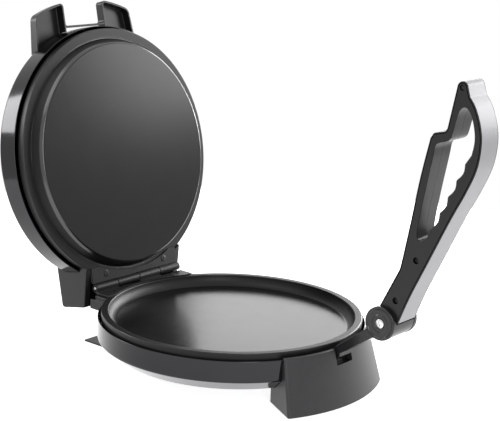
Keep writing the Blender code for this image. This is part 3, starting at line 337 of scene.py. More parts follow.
# Light: how white the floor is behind the product, the soft light that the room gives it, and
# the lamps, each with its bearing from the front and height in degrees, distance, size and power
FLOOR_LIFT = 0.8
FLOOR_SINK = 0.0001
ROOM_LEVEL = 0.35
LAMP_AIM = (0.0, 0.0, 0.1)
LAMPS = (
    ("top_lamp", -120, 60, 1.4, (0.9, 0.9), 4.0),
    ("right_lamp", 80, 20, 1.5, (1.8, 0.5), 22.0),
    ("back_lamp", 122, 15, 1.5, (0.6, 0.4), 1.8),
    ("left_lamp", -150, 20, 1.4, (0.45, 0.45), 6.5),
    ("front_lamp", -34, 24, 1.4, (0.3, 0.8), 5.0),
    ("low_lamp", 95, 3.5, 1.5, (1.1, 0.24), 13.0))

SIDES = ((-1, "left"), (1, "right"))
HEAT_BROWN = (0.36, 0.25, 0.16, 1.0)
# What a piece that is left as packed is finished with, by a word in its name
INSIDE_FINISHES = (("element", "heater_sheath"), ("shield", "galvanised_steel"),
                   ("post", "bright_steel"), ("", "ceramic"))


# What a user may change

def length_property(label, what, default, low, high):
    return bpy.props.FloatProperty(
        name=label, description=what, default=default, min=low, max=high,
        subtype="DISTANCE", unit="LENGTH")


class PancakeSizes(bpy.types.PropertyGroup):
    """Sizes of the fine shapes: facets, roundings and recesses"""
    round_sides: bpy.props.IntProperty(
        name="Round sides", description="Facets round a plate or casing",
        default=240, min=60, max=480)
    small_sides: bpy.props.IntProperty(
        name="Small sides", description="Facets round a screw, knuckle or cap",
        default=48, min=16, max=128)
    moulding_rounding: length_property(
        "Moulding rounding", "Radius along the edges of moulded pieces", 0.0009, 0.0002, 0.002)
    lever_rounding: length_property(
        "Lever rounding", "Radius along the lever's edges", 0.0009, 0.0002, 0.0012)
    plate_rounding: length_property(
        "Plate rounding", "Radius of the plates' rim edges", 0.001, 0.0002, 0.0015)
    sheet_bend: length_property(
        "Sheet bend", "Radius where the pan's sheet turns", 0.003, 0.0015, 0.006)
    foot_corner: length_property(
        "Foot corner", "Radius of the front foot's upright edges", 0.0025, 0.001, 0.005)
    cross_width: length_property(
        "Cross width", "Width of the slots in a screw's head", 0.0009, 0.0004, 0.0015)
    floor_radius: length_property("Floor radius", "Radius of the pale floor", 0.85, 0.4, 2.0)


def colour_property(label, what, default):
    return bpy.props.FloatVectorProperty(
        name=label, description=what, default=default, size=3, min=0.0, max=1.0,
        subtype="COLOR")


def roughness_property(label, default):
    return bpy.props.FloatProperty(
        name=label, description="0 is a mirror and 1 is chalk", default=default, min=0.0,
        max=1.0, subtype="FACTOR")


class PancakeFinishes(bpy.types.PropertyGroup):
    """Colours and roughness of each finish, and the strength of the light"""
    coating: colour_property(
        "Non-stick coating", "Colour of both cooking plates", (0.005, 0.005, 0.0052))
    coating_roughness: roughness_property("Coating roughness", 0.21)
    casing: colour_property(
        "Dark sheet metal", "Colour of the pan and the lid", (0.03, 0.03, 0.0315))
    casing_roughness: roughness_property("Casing roughness", 0.11)
    gloss: colour_property(
        "Gloss black plastic", "Colour of the front foot, arm and caps", (0.013, 0.013, 0.014))
    gloss_roughness: roughness_property("Gloss roughness", 0.2)
    satin: colour_property(
        "Satin black plastic", "Colour of the lever, fork and hinge housing",
        (0.015, 0.015, 0.016))
    satin_roughness: roughness_property("Satin roughness", 0.33)
    aluminium: colour_property(
        "Satin aluminium", "Colour of the strip along the lever", (0.34, 0.34, 0.35))
    aluminium_roughness: roughness_property("Aluminium roughness", 0.54)
    steel: colour_property("Bright steel", "Colour of screws and pins", (0.72, 0.72, 0.73))
    steel_roughness: roughness_property("Steel roughness", 0.2)
    black_steel: colour_property(
        "Blackened steel", "Colour of the hinge and the rear foot", (0.018, 0.018, 0.019))
    black_steel_roughness: roughness_property("Blackened steel roughness", 0.36)
    zinc: colour_property("Galvanised steel", "Colour of the bottom cover", (0.5, 0.51, 0.52))
    rubber: colour_property("Rubber", "Colour of the pads and the cord's bush", (0.02, 0.02, 0.02))
    ceramic: colour_property("Ceramic", "Colour of the thermostats", (0.78, 0.76, 0.7))
    floor: colour_property("Floor", "Colour of the pale floor", (0.86, 0.86, 0.86))
    room_light: bpy.props.FloatProperty(
        name="Room light", description="Share of the soft light that the room gives",
        default=1.0, min=0.0, max=4.0)
    lamp_power: bpy.props.FloatProperty(
        name="Lamp power", description="Share of the power of every lamp",
        default=1.0, min=0.0, max=4.0)


def sizes():
    return bpy.context.scene.pancake_sizes


def finishes():
    return bpy.context.scene.pancake_finishes


# Outlines in a plane

def arc(centre, radius, start, end, steps):
    """Points on an arc of a circle, or of an ellipse where radius is a pair."""
    wide, high = radius if isinstance(radius, tuple) else (radius, radius)
    angles = [start + (end - start) * i / steps for i in range(steps + 1)]
    return [(centre[0] + wide * math.cos(a), centre[1] + high * math.sin(a)) for a in angles]


def circle(centre, radius, sides):
    return arc(centre, radius, 0, FULL_TURN, sides)[:-1]


def rectangle(low, high, radius=0.0):
    return rounded([(low[0], low[1], radius), (high[0], low[1], radius),
                    (high[0], high[1], radius), (low[0], high[1], radius)])


def rounded(corners, steps=CORNER_STEPS, closed=True):
    """An outline in which each corner given as (x, y, radius) becomes an arc."""
    outline = []
    for i, corner in enumerate(corners):
        here = Vector(corner[:2])
        radius = corner[2] if len(corner) > 2 else 0
        if not radius or (not closed and i in (0, len(corners) - 1)):
            outline.append(tuple(here))
            continue
        back = (Vector(corners[i - 1][:2]) - here).normalized()
        on = (Vector(corners[(i + 1) % len(corners)][:2]) - here).normalized()
        half = back.angle(on) / 2
        centre = here + (back + on).normalized() * (radius / math.sin(half))
        first = here + back * (radius / math.tan(half)) - centre
        last = here + on * (radius / math.tan(half)) - centre
        start = math.atan2(first.y, first.x)
        sweep = (math.atan2(last.y, last.x) - start + math.pi) % FULL_TURN - math.pi
        outline += arc(centre, radius, start, start + sweep, steps)
    return outline


def turns_left(points):
    pairs = zip(points, points[1:] + points[:1])
    return sum(a[0] * b[1] - b[0] * a[1] for a, b in pairs) > 0


def drawn_in(points, distance):
    """A closed outline moved inward by a distance, corner by corner."""
    if not distance:
        return list(points)
    side = distance if turns_left(points) else -distance
    moved = []
    for i, point in enumerate(points):
        here = Vector(point)
        before = (here - Vector(points[i - 1])).normalized()
        after = (Vector(points[(i + 1) % len(points)]) - here).normalized()
        inward = Vector((-before.y - after.y, before.x + after.x))
        scale = max(1 + before.dot(after), MITRE_LIMIT)
        moved.append(tuple(here + inward * (side / scale)))
    return moved


def offset_line(points, distance):
    """An open line moved to its left by a distance, corner by corner."""
    moved = []
    for i, point in enumerate(points):
        along = Vector(points[min(i + 1, len(points) - 1)]) - Vector(points[max(i - 1, 0)])
        normal = Vector((-along.y, along.x)).normalized()
        moved.append(tuple(Vector(point) + normal * distance))
    return moved


def stretched(points, reach):
    """An open line made longer at both ends."""
    first, second, last, other = (Vector(points[i]) for i in (0, 1, -1, -2))
    start = first + (first - second).normalized() * reach
    end = last + (last - other).normalized() * reach
    return [tuple(start)] + points[1:-1] + [tuple(end)]


def smooth_line(points, steps):
    """A Catmull-Rom curve through points, with a few steps between each two."""
    curve, last = [], len(points) - 1
    for i in range(last):
        corners = (max(i - 1, 0), i, i + 1, min(i + 2, last))
        p0, p1, p2, p3 = (Vector(points[corner]) for corner in corners)
        for step in range(steps):
            t = step / steps
            bend = (p2 - p0) * t + (p0 * 2 - p1 * 5 + p2 * 4 - p3) * t ** 2
            bend += (p1 * 3 - p0 - p2 * 3 + p3) * t ** 3
            curve.append(tuple(p1 + bend / 2))
    return curve + [tuple(points[-1])]


def scaled(shares):
    """Places on the lever from shares of its length and depth, as (across, up) points."""
    return [(-outward * LEVER_DEPTH, along * LEVER_LENGTH) for along, outward in shares]


# Meshes

def piece_from(name, bm):
    bmesh.ops.remove_doubles(bm, verts=bm.verts[:], dist=MERGE_DISTANCE)
    bmesh.ops.recalc_face_normals(bm, faces=bm.faces[:])
    mesh = bpy.data.meshes.new(name)
    bm.to_mesh(mesh)
    bm.free()
    piece = bpy.data.objects.new(name, mesh)
    bpy.context.scene.collection.objects.link(piece)
    return piece


def stacked(name, rings, axis):
    """Outlines with as many points each, one at every level, joined and capped."""
    place = {
        "X": lambda a, b, c: (c, a, b),
        "Y": lambda a, b, c: (a, c, b),
        "Z": lambda a, b, c: (a, b, c),
    }[axis]
    bm = bmesh.new()
    loops = [[bm.verts.new(place(a, b, level)) for a, b in ring] for ring, level in rings]
    bm.faces.new(loops[0])
    bm.faces.new(loops[-1])
    for lower, upper in zip(loops, loops[1:]):
        for i in range(len(lower)):
            bm.faces.new((lower[i - 1], lower[i], upper[i], upper[i - 1]))
    return piece_from(name, bm)


def quarter_bend(radius, steps):
    """How far in and how far up a rounded edge is, from the end face to the side."""
    angles = [QUARTER_TURN * i / steps for i in range(steps + 1)]
    return [(radius * (1 - math.sin(a)), radius * (1 - math.cos(a))) for a in angles]


def edge_levels(level, radius, side, steps):
    """The insets and levels of one end, whose face looks away from the side given."""
    if not radius:
        return [(0.0, level)]
    return [(inset, level + side * rise) for inset, rise in quarter_bend(radius, steps)][::side]


def slab_levels(low, high, low_rounding, high_rounding, steps):
    return (edge_levels(low, low_rounding, 1, steps)
            + edge_levels(high, high_rounding, -1, steps))


def slab(name, outline, low, high, axis, low_rounding=0.0, high_rounding=0.0,
         steps=EDGE_STEPS, line=0.0):
    """An outline pushed from low to high, its end faces met by rounded edges.

    A line is a fine groove of that width that runs round the high face, beside its edge.
    """
    levels = slab_levels(low, high, low_rounding, high_rounding, steps)
    if line:
        levels += [(high_rounding + line * share, high - line * depth)
                   for share, depth in LINE_SHARES]
    return stacked(name, [(drawn_in(outline, inset), level) for inset, level in levels], axis)


def rod(name, radius, low, high, axis, centre=(0, 0), rounding=0.0, sides=None):
    outline = circle(centre, radius, sides or sizes().small_sides)
    return slab(name, outline, low, high, axis, rounding, rounding)


def turned(name, profile, sides=None, sweep=FULL_TURN, start=0.0):
    """A profile of (radius, height) points spun about Z, closed on the axis or on itself."""
    bm = bmesh.new()
    verts = [bm.verts.new((r * math.cos(start), r * math.sin(start), z)) for r, z in profile]
    edges = [bm.edges.new(pair) for pair in zip(verts, verts[1:])]
    if profile[0][0] or profile[-1][0]:
        edges.append(bm.edges.new((verts[-1], verts[0])))
    whole = sweep == FULL_TURN
    bmesh.ops.spin(bm, geom=verts + edges, cent=(0, 0, 0), axis=(0, 0, 1), angle=sweep,
                   steps=sides or sizes().round_sides, use_merge=whole, use_duplicate=False)
    if not whole:
        bmesh.ops.holes_fill(bm, edges=[edge for edge in bm.edges if edge.is_boundary])
    return piece_from(name, bm)


def moved(piece, matrix):
    piece.data.transform(matrix)
    if matrix.determinant() < 0:
        piece.data.flip_normals()
    return piece


def placed(piece, at=(0, 0, 0), angle=0.0, axis="Z"):
    """The piece turned about the origin and then shifted."""
    return moved(piece, Matrix.Translation(at) @ Matrix.Rotation(angle, 4, axis))


def mirrored(piece, side):
    return moved(piece, Matrix.Diagonal((side, 1, 1, 1)))


def shaped(piece):
    """The piece with its modifiers worked into its mesh."""
    graph = bpy.context.evaluated_depsgraph_get()
    mesh = bpy.data.meshes.new_from_object(piece.evaluated_get(graph))
    piece.modifiers.clear()
    piece.data = mesh
    return piece


def combined(body, tools, operation):
    for tool in tools:
        modifier = body.modifiers.new(operation, "BOOLEAN")
        modifier.operation = operation
        modifier.object = tool
        shaped(body)
        if not body.data.polygons:
            raise RuntimeError(f"{body.name} was lost when {tool.name} met it")
        bpy.data.objects.remove(tool)
    return body


def cut(body, *tools):
    return combined(body, tools, "DIFFERENCE")


def joined(body, *tools):
    return combined(body, tools, "UNION")


def gathered(name, pieces):
    """Several meshes as one piece, each kept whole."""
    bm = bmesh.new()
    for piece in pieces:
        bm.from_mesh(piece.data)
        bpy.data.objects.remove(piece)
    return piece_from(name, bm)


def fit(piece, slot, body, nodes, sharp=SHARP_ANGLE):
    """Note where each point was drawn, turn the piece to its place and hand it to its body."""
    drawn = piece.data.attributes.new("drawn", "FLOAT_VECTOR", "POINT")
    drawn.data.foreach_set("vector", [value for v in piece.data.vertices for value in v.co])
    if body in POSES:
        piece.data.transform(POSES[body])
    piece.data.materials.clear()
    piece.data.materials.append(bpy.data.materials[slot + "_finish"])
    piece.data.shade_smooth()
    piece.data.set_sharp_from_angle(angle=sharp)
    weighted = piece.modifiers.new("normals", "WEIGHTED_NORMAL")
    weighted.keep_sharp = True
    shaped(piece)
    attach(piece, body)
    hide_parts(*nodes)
    return piece


def cross(reach, low, high):
    """The tool that sinks a cross into a screw's head, upright on Z."""
    half = sizes().cross_width / 2
    outline = [(half, half), (half, reach), (-half, reach), (-half, half), (-reach, half),
               (-reach, -half), (-half, -half), (-half, -reach), (half, -reach), (half, -half),
               (reach, -half), (reach, half)]
    tip = [(x * CROSS_TIP_SHARE, y * CROSS_TIP_SHARE) for x, y in outline]
    return stacked("cross", [(tip, low), (outline, high)], "Z")


def screw(name, head, height, shank, length, domed=SCREW_DOME):
    """A screw with a cross in its head. It points down, the head's underside at zero."""
    side = height * (1 - domed)
    profile = [(0, -length), (shank * SCREW_TIP_SHARE, -length), (shank, shank - length),
               (shank, 0), (head, 0), (head, side / 2), (head * SCREW_CHAMFER_SHARE, side)]
    profile += arc((0, side), (head * SCREW_DOME_SHARE, height * domed), SCREW_DOME_START,
                   QUARTER_TURN, BEAD_STEPS)
    piece = turned(name, profile[:-1] + [(0, height)], sizes().small_sides)
    return cut(piece, cross(head * CROSS_REACH_SHARE, height * CROSS_FLOOR_SHARE,
                            height * CROSS_TOP_SHARE))


# Shader nodes

def sum_of(operation, swapped=False):
    """A method that works a sum with another socket or a plain number."""
    def work(self, other):
        return self.worked(operation, *((other, self) if swapped else (self, other)))
    return work


class Sum:
    """A socket that takes part in sums. Each sum adds a Math node."""

    def __init__(self, tree, socket):
        self.tree = tree
        self.socket = socket

    def worked(self, operation, *values, clamped=False):
        node = self.tree.nodes.new("ShaderNodeMath")
        node.operation = operation
        node.use_clamp = clamped
        for place, value in enumerate(values):
            feed(self.tree, node.inputs[place], value)
        return Sum(self.tree, node.outputs[0])

    __add__, __radd__ = sum_of("ADD"), sum_of("ADD", True)
    __sub__, __rsub__ = sum_of("SUBTRACT"), sum_of("SUBTRACT", True)
    __mul__, __pow__ = sum_of("MULTIPLY"), sum_of("POWER")

    def kept(self):
        """The same, kept between 0 and 1."""
        return self.worked("ADD", self, 0.0, clamped=True)


def feed(tree, socket, value):
    if isinstance(value, Sum):
        tree.links.new(value.socket, socket)
    else:
        socket.default_value = value


class Recipe:
    """The nodes of one material, or of the room."""

    def __init__(self, tree):
        self.tree = tree

    def node(self, kind, settings=None, inputs=None, output=0):
        """One node: its settings first, and then the values or links of its sockets."""
        made = self.tree.nodes.new(kind)
        for name, value in (settings or {}).items():
            setattr(made, name, value)
        for key, value in (inputs or {}).items():
            feed(self.tree, made.inputs[key], value)
        return Sum(self.tree, made.outputs[output])

    def place(self):
        """Where a point is on the model at rest."""
        return self.node("ShaderNodeTexCoord", output=3)

    def drawn(self):
        """Where a point was drawn, with the lid closed and the lever upright."""
        return self.node("ShaderNodeAttribute", {"attribute_name": "drawn"}, output=1)

    def parts(self, vector):
        split = self.tree.nodes.new("ShaderNodeSeparateXYZ")
        feed(self.tree, split.inputs[0], vector)
        return [Sum(self.tree, split.outputs[i]) for i in range(3)]

    def vector(self, x, y, z):
        return self.node("ShaderNodeCombineXYZ", inputs={0: x, 1: y, 2: z})

    def noise(self, vector, scale, detail=2.0, roughness=0.5):
        return self.node("ShaderNodeTexNoise", inputs={
            "Vector": vector, "Scale": scale, "Detail": detail, "Roughness": roughness})

    def spots(self, vector, scale, output=0):
        return self.node("ShaderNodeTexVoronoi", inputs={"Vector": vector, "Scale": scale},
                         output=output)

    def between(self, value, low, high, start=0.0, end=1.0):
        """The value carried from low..high to start..end, smoothly and no further."""
        return self.node("ShaderNodeMapRange", {"interpolation_type": "SMOOTHSTEP"},
                         {0: value, 1: low, 2: high, 3: start, 4: end})

    def colours(self, factor, first, second):
        return self.node("ShaderNodeMix", {"data_type": "RGBA"},
                         {0: factor, 6: first, 7: second}, output=2)

    def shades(self, colour, factor, low, high, *touches):
        """Shades of a colour from low to high, each touch laying its own shade where it is 1."""
        mixed = self.colours(factor, shade(colour, low), shade(colour, high))
        for amount, level in touches:
            mixed = self.colours(amount, mixed, shade(colour, level))
        return mixed

    def edges(self, radius):
        """1 along the piece's edges, 0 on its faces."""
        soft = self.node("ShaderNodeBevel", {"samples": 4}, {"Radius": radius})
        face = self.node("ShaderNodeNewGeometry", output=1)
        facing = self.node("ShaderNodeVectorMath", {"operation": "DOT_PRODUCT"},
                           {0: soft, 1: face}, output=1)
        return ((1 - facing) * 6).kept()

    def bump(self, height, depth, strength=1.0):
        return self.node("ShaderNodeBump", inputs={
            "Height": height, "Distance": depth, "Strength": strength})

    def surface(self, colour, roughness, **values):
        """Join colour, roughness and any other value or socket to the finish's shader."""
        shader = self.tree.nodes["Principled BSDF"]
        for key, value in (("Base Color", colour), ("Roughness", roughness), *values.items()):
            feed(self.tree, shader.inputs[key.replace("_", " ")], value)


def shade(colour, factor):
    """A colour made lighter or darker, as four numbers."""
    return tuple(min(channel * factor, 1.0) for channel in colour) + (1.0,)


def recipe(slot):
    material = bpy.data.materials.new(slot + "_finish")
    material.use_nodes = True
    return Recipe(material.node_tree)


def make_coating(look):
    """Sprayed non-stick coating: satin on the cooking faces, sandier on rims and flanges."""
    mix = recipe("nonstick_coating")
    where = mix.drawn()
    x, y, z = mix.parts(where)
    reach = (x * x + y * y) ** 0.5
    rim = mix.between(reach, DISC_RADIUS + 0.0004, DISC_RADIUS + 0.0012)
    sand = mix.noise(where, 1500.0, 2.0, 0.6)
    pebble = mix.noise(where, 2800.0, 2.0, 0.6)
    cloud = mix.noise(where, 45.0, 3.0, 0.5)
    worn = mix.edges(0.001)
    # The specks are the sandy coating on the rims; along the edges they are wear and also a
    # painted highlight.
    speck = mix.between(sand, 0.56, 0.68) * (rim * 0.5 + worn * 0.6)
    roughness = (look.coating_roughness - 0.04 + pebble * 0.04 + cloud * 0.04
                 + rim * (0.16 + sand * 0.1) - worn * 0.03)
    shoulder = (mix.between(reach, DISC_RADIUS - DISC_ROUNDING * 0.8,
                            DISC_RADIUS - DISC_ROUNDING * 0.4)
                * (1 - rim) * mix.between(z, DISC_Z / 2, DISC_Z * 0.8) * (0.4 + sand * 0.6))
    mix.surface(mix.shades(look.coating, cloud * 0.5 + pebble * 0.5, 0.8, 1.25, (speck, 5.0)),
                roughness, Normal=mix.bump(pebble * 0.3 + sand * rim, 0.00005, 0.35), IOR=1.34,
                Coat_IOR=1.8, Coat_Roughness=0.16,
                Coat_Weight=(shoulder + worn * (1 + sand)).kept())


def make_casing(look):
    """Dark lacquered sheet: rolled lines round the band, fine grain, soft cloudiness, and a
    painted reflection that lightens it below the wall.
    """
    mix = recipe("dark_sheet_metal")
    where = mix.drawn()
    x, y, z = mix.parts(where)
    reach = (x * x + y * y) ** 0.5
    rolled = mix.noise(mix.vector(reach * 900, z * 900, 0.0), 1.0, 3.0, 0.6)
    flake = mix.spots(where, 3800.0)
    cloud = mix.noise(where, 26.0, 3.0, 0.5)
    # Painted reflection: below the wall, on the chamfer and the pan's floor, the sheet is painted
    # lighter than the rest.
    chamfer_painted_reflection = mix.between(z, CASING_WALL_Z - 0.0012, CASING_WALL_Z - 0.0004, 1.0, 0.0)
    crown = mix.between(z, LID_WALL_Z + 0.003, CROWN_Z - 0.001, 0.0, 0.24)
    colour = mix.shades(look.casing, rolled * 0.35 + cloud * 0.65, 0.88, 1.12,
                        ((0.35 - flake) * 0.5, 1.9), (mix.edges(0.0012) * 0.45, 1.8),
                        (chamfer_painted_reflection, 5.5))
    mix.surface(colour, look.casing_roughness - 0.03 + cloud * 0.05 + rolled * 0.03 + crown,
                Normal=mix.bump(rolled, 0.00002, 0.06), Metallic=1.0, Coat_Weight=0.15,
                Coat_Roughness=0.05)


def make_gloss(look):
    """Polished black moulding, blasted to a soft speckled sheen on the front foot."""
    mix = recipe("gloss_black_plastic")
    where = mix.place()
    x, _, z = mix.parts(where)
    in_notch = (mix.between((x * x) ** 0.5, NOTCH_WIDTH / 2 - 0.0002, NOTCH_WIDTH / 2, 1.0, 0.0)
                * mix.between(z, NOTCH_Z - 0.0002, NOTCH_Z))
    blasted = mix.between(z, FOOT_TOP_Z, FOOT_TOP_Z + 0.002, 1.0, 0.0) * (1 - in_notch)
    ripple = mix.noise(where, 130.0, 2.0, 0.45)
    speck = mix.noise(where, 1800.0, 2.0, 0.6)
    colour = mix.shades(look.gloss, ripple, 0.85, 1.2,
                        (blasted * (speck * 0.7 + ripple * 0.3), 3.0),
                        (mix.edges(0.001) * 0.5, 3.4))
    mix.surface(colour, (look.gloss_roughness - 0.03 + ripple * 0.05 + speck * 0.03
                         + blasted * (0.15 + speck * 0.04)),
                Normal=mix.bump(ripple * 0.8 + speck * (0.05 + blasted * 0.3), 0.00012, 0.12),
                IOR=1.46)


def make_satin(look):
    """Spark-eroded black moulding: fine even grain, polished edges, and painted shade that
    blackens the fine groove on the lever.
    """
    mix = recipe("satin_black_plastic")
    where = mix.place()
    x, _, z = mix.parts(mix.drawn())
    across = (x * x) ** 0.5
    # Painted shade: the fine groove beside the lever's edge is painted near black and made
    # metallic, so that it reflects almost nothing.
    line = (mix.between(across, LEVER_HALF_WIDTH - LEVER_LINE * 0.85,
                        LEVER_HALF_WIDTH - LEVER_LINE * 0.8)
            * mix.between(across, LEVER_HALF_WIDTH - LEVER_LINE * 0.5,
                          LEVER_HALF_WIDTH - LEVER_LINE * 0.3, 1.0, 0.0)
            * mix.between(z, HUB_CLEAR_RADIUS, HUB_CLEAR_RADIUS + 0.004))
    grain = mix.noise(where, 1900.0, 3.0, 0.65)
    pit = mix.spots(where, 1500.0)
    cloud = mix.noise(where, 60.0, 2.0, 0.5)
    worn = mix.edges(0.001)
    mix.surface(mix.shades(look.satin, grain * 0.6 + cloud * 0.4, 0.5, 0.85,
                           (worn * 0.6, 3.0), (line, 0.2)),
                look.satin_roughness - 0.04 + cloud * 0.05 + grain * 0.05 - worn * 0.08,
                Normal=mix.bump(grain * 0.7 + pit * 0.5, 0.00004, 0.4), IOR=1.38,
                Metallic=line)


def make_aluminium(look):
    """Brushed strip: long fine lines along the lever, with a few deeper scratches."""
    mix = recipe("satin_aluminium")
    x, y, z = mix.parts(mix.drawn())
    lines = mix.noise(mix.vector(x * 5200, y * 40, z * 40), 1.0, 4.0, 0.7)
    scratch = mix.noise(mix.vector(x * 1500, y * 14, z * 14), 1.0, 2.0, 0.5)
    cloud = mix.noise(mix.drawn(), 35.0, 2.0, 0.5)
    deep = ((scratch - 0.62) * 10).kept()
    mix.surface(mix.shades(look.aluminium, lines * 0.7 + cloud * 0.3, 0.84, 1.06,
                           (mix.edges(0.0006) * 0.5, 1.15)),
                look.aluminium_roughness - 0.05 + lines * 0.12 + deep * 0.05,
                Normal=mix.bump(lines * 0.8 - deep * 0.4, 0.00003, 0.3), Metallic=1.0)


def make_steel(look):
    """Bright plated steel: fine turning marks, faint smudges, brighter along its edges."""
    mix = recipe("bright_steel")
    where = mix.place()
    fine = mix.noise(where, 3200.0, 3.0, 0.6)
    smudge = mix.noise(where, 210.0, 3.0, 0.5)
    mix.surface(mix.shades(look.steel, smudge, 0.82, 1.08, (mix.edges(0.0004) * 0.6, 1.2)),
                look.steel_roughness - 0.05 + smudge * 0.1 + fine * 0.06,
                Normal=mix.bump(fine, 0.00002, 0.2), Metallic=1.0)


def make_black_steel(look):
    """Blackened steel: oiled grain, rubbed to metal along its edges, with painted glints there
    too.
    """
    mix = recipe("black_steel")
    where = mix.place()
    grain = mix.noise(where, 1700.0, 3.0, 0.6)
    cloud = mix.noise(where, 90.0, 3.0, 0.55)
    # Lighter edges: rubbed metal, and also painted glints on the screw heads and knuckles.
    mix.surface(mix.shades(look.black_steel, grain * 0.4 + cloud * 0.6, 0.7, 1.35,
                           (mix.edges(0.0008) * cloud * 1.2, 5.0)),
                look.black_steel_roughness - 0.05 + grain * 0.08 + cloud * 0.06,
                Normal=mix.bump(grain, 0.00004, 0.3), Metallic=0.4, Specular_IOR_Level=0.4)


def make_zinc(look):
    """Galvanised sheet: a patchwork of pale and dull crystals."""
    mix = recipe("galvanised_steel")
    where = mix.place()
    tone, dull, tilt = mix.parts(mix.spots(where, 170.0, output=1))
    fine = mix.noise(where, 1500.0, 3.0, 0.6)
    mix.surface(mix.shades(look.zinc, tone * 0.7 + fine * 0.3, 0.74, 1.2),
                0.3 + dull * 0.2 + fine * 0.06,
                Normal=mix.bump(tilt * 0.5 + fine * 0.3, 0.00004, 0.3), Metallic=1.0)


def make_rubber(look):
    """Matt rubber: soft pitted skin with pale bloom."""
    mix = recipe("rubber")
    pit = mix.noise(mix.place(), 1600.0, 3.0, 0.7)
    bloom = mix.noise(mix.place(), 240.0, 3.0, 0.5)
    mix.surface(mix.shades(look.rubber, bloom * bloom, 0.8, 2.2), 0.66 + pit * 0.16,
                Normal=mix.bump(pit, 0.00008, 0.5))


def make_ceramic(look):
    """Unglazed ceramic: chalky, with sparse darker grains."""
    mix = recipe("ceramic")
    chalk = mix.noise(mix.place(), 900.0, 4.0, 0.6)
    speck = mix.between(mix.spots(mix.place(), 1300.0), 0.1, 0.22, 1.0, 0.0)
    mix.surface(mix.shades(look.ceramic, chalk, 0.86, 1.08, (speck * 0.5, 0.45)),
                0.6 + chalk * 0.2, Normal=mix.bump(chalk, 0.00006, 0.4))


def make_heater(look):
    """Heater sheath: steel tinted straw and brown by heat."""
    mix = recipe("heater_sheath")
    tint = mix.noise(mix.place(), 70.0, 3.0, 0.5)
    fine = mix.noise(mix.place(), 1400.0, 3.0, 0.6)
    mix.surface(mix.colours(tint, shade(look.steel, 0.42), HEAT_BROWN), 0.3 + fine * 0.16,
                Normal=mix.bump(fine, 0.00004, 0.3), Metallic=1.0)


# Operators

class PancakeStep(bpy.types.Operator):
    """One step of the pancake maker's finish"""
    bl_options = {"REGISTER", "UNDO"}

    def execute(self, context):
        self.make()
        return {"FINISHED"}


class PANCAKE_OT_finishes(PancakeStep):
    """Mix every finish: coating, sheet metal, plastics, steel, rubber and ceramic"""
    bl_idname = "pancake.finishes"
    bl_label = "Finishes"

    def make(self):
        look = finishes()
        for maker in (make_coating, make_casing, make_gloss, make_satin, make_aluminium,
                      make_steel, make_black_steel, make_zinc, make_rubber, make_ceramic,
                      make_heater):
            maker(look)


class PANCAKE_OT_plates(PancakeStep):
    """Turn both cooking plates, with cove, raised disc, rims and hinge lugs"""
    bl_idname = "pancake.plates"
    bl_label = "Plates"

    def make(self):
        soft = sizes().plate_rounding
        self.make_lower(soft)
        self.make_upper(soft)

    def make_lower(self, soft):
        floor_radius = PLATE_RADIUS - RIM_WIDTH - COVE_WIDTH
        bottom = FLANGE_Z - SKIRT_HEIGHT
        lip = PLATE_RADIUS - RIM_WIDTH
        cove = arc((floor_radius, FLANGE_Z), (COVE_WIDTH, RECESS_DEPTH), -QUARTER_TURN,
                   -math.asin(soft / RECESS_DEPTH), COVE_STEPS)
        rim = arc((lip + soft, FLANGE_Z - soft), soft, math.pi, QUARTER_TURN, CORNER_STEPS)
        rim += rounded([
            rim[-1], (PLATE_RADIUS, FLANGE_Z, soft), (PLATE_RADIUS, bottom, EDGE_ROUNDING),
            (PLATE_RADIUS - SKIRT_WALL, bottom, EDGE_ROUNDING),
            (floor_radius + SKIRT_WALL, -PLATE_THICKNESS, PLATE_BEND),
            (0, -PLATE_THICKNESS)], closed=False)[1:]
        plate = turned("cooking_plate", [(0, 0)] + cove + rim)
        lug = self.make_lug("lower", LUG_HALF_WIDTH, FLANGE_Z - FLANGE_THICKNESS, FLANGE_Z,
                            high_rounding=soft * LUG_EDGE_SHARE)
        fit(joined(plate, lug), "nonstick_coating", "base", ["lower_plate"])

    def make_upper(self, soft):
        back = DISC_Z + PLATE_THICKNESS
        step = DISC_RADIUS + DISC_SLOPE_WIDTH
        groove = step + DISC_GROOVE_WIDTH
        sunk = LID_FLANGE_Z + DISC_GROOVE_DEPTH
        under = LID_FLANGE_Z + FLANGE_THICKNESS
        top = LID_FLANGE_Z + SKIRT_HEIGHT
        inner = PLATE_RADIUS - SKIRT_WALL
        edge = arc((DISC_RADIUS - DISC_ROUNDING, DISC_Z + DISC_ROUNDING), DISC_ROUNDING,
                   -QUARTER_TURN, 0, DISC_EDGE_STEPS)
        rim = rounded([
            edge[-1], (step, LID_FLANGE_Z), (step, sunk, FINE_ROUNDING),
            (groove, sunk, FINE_ROUNDING), (groove, LID_FLANGE_Z, LIP_ROUNDING),
            (PLATE_RADIUS, LID_FLANGE_Z, soft), (PLATE_RADIUS, top, EDGE_ROUNDING),
            (inner, top, EDGE_ROUNDING), (inner, under, FLANGE_BEND),
            (DISC_RADIUS, under, PLATE_BEND), (DISC_RADIUS - DISC_SLOPE_WIDTH, back, PLATE_BEND),
            (0, back)], closed=False)
        plate = turned("pressing_plate", [(0, DISC_Z)] + edge + rim[1:])
        lug = self.make_lug("upper", HINGE_HALF_LENGTH, LID_FLANGE_Z, under,
                            low_rounding=soft * LUG_EDGE_SHARE)
        fit(joined(plate, lug), "nonstick_coating", "lid", ["upper_plate"])

    def make_lug(self, name, half, low, high, **rounding):
        """The flat behind the rim that the hinge leaf is screwed to."""
        outline = rectangle((-half, LUG_FRONT), (half, LUG_BACK), LUG_CORNER)
        lug = slab(name, outline, low, high, "Z", **rounding)
        return cut(lug, rod("bowl", PLATE_RADIUS - RIM_WIDTH / 2, low - OVERRUN, high + OVERRUN,
                            "Z", sides=sizes().round_sides))


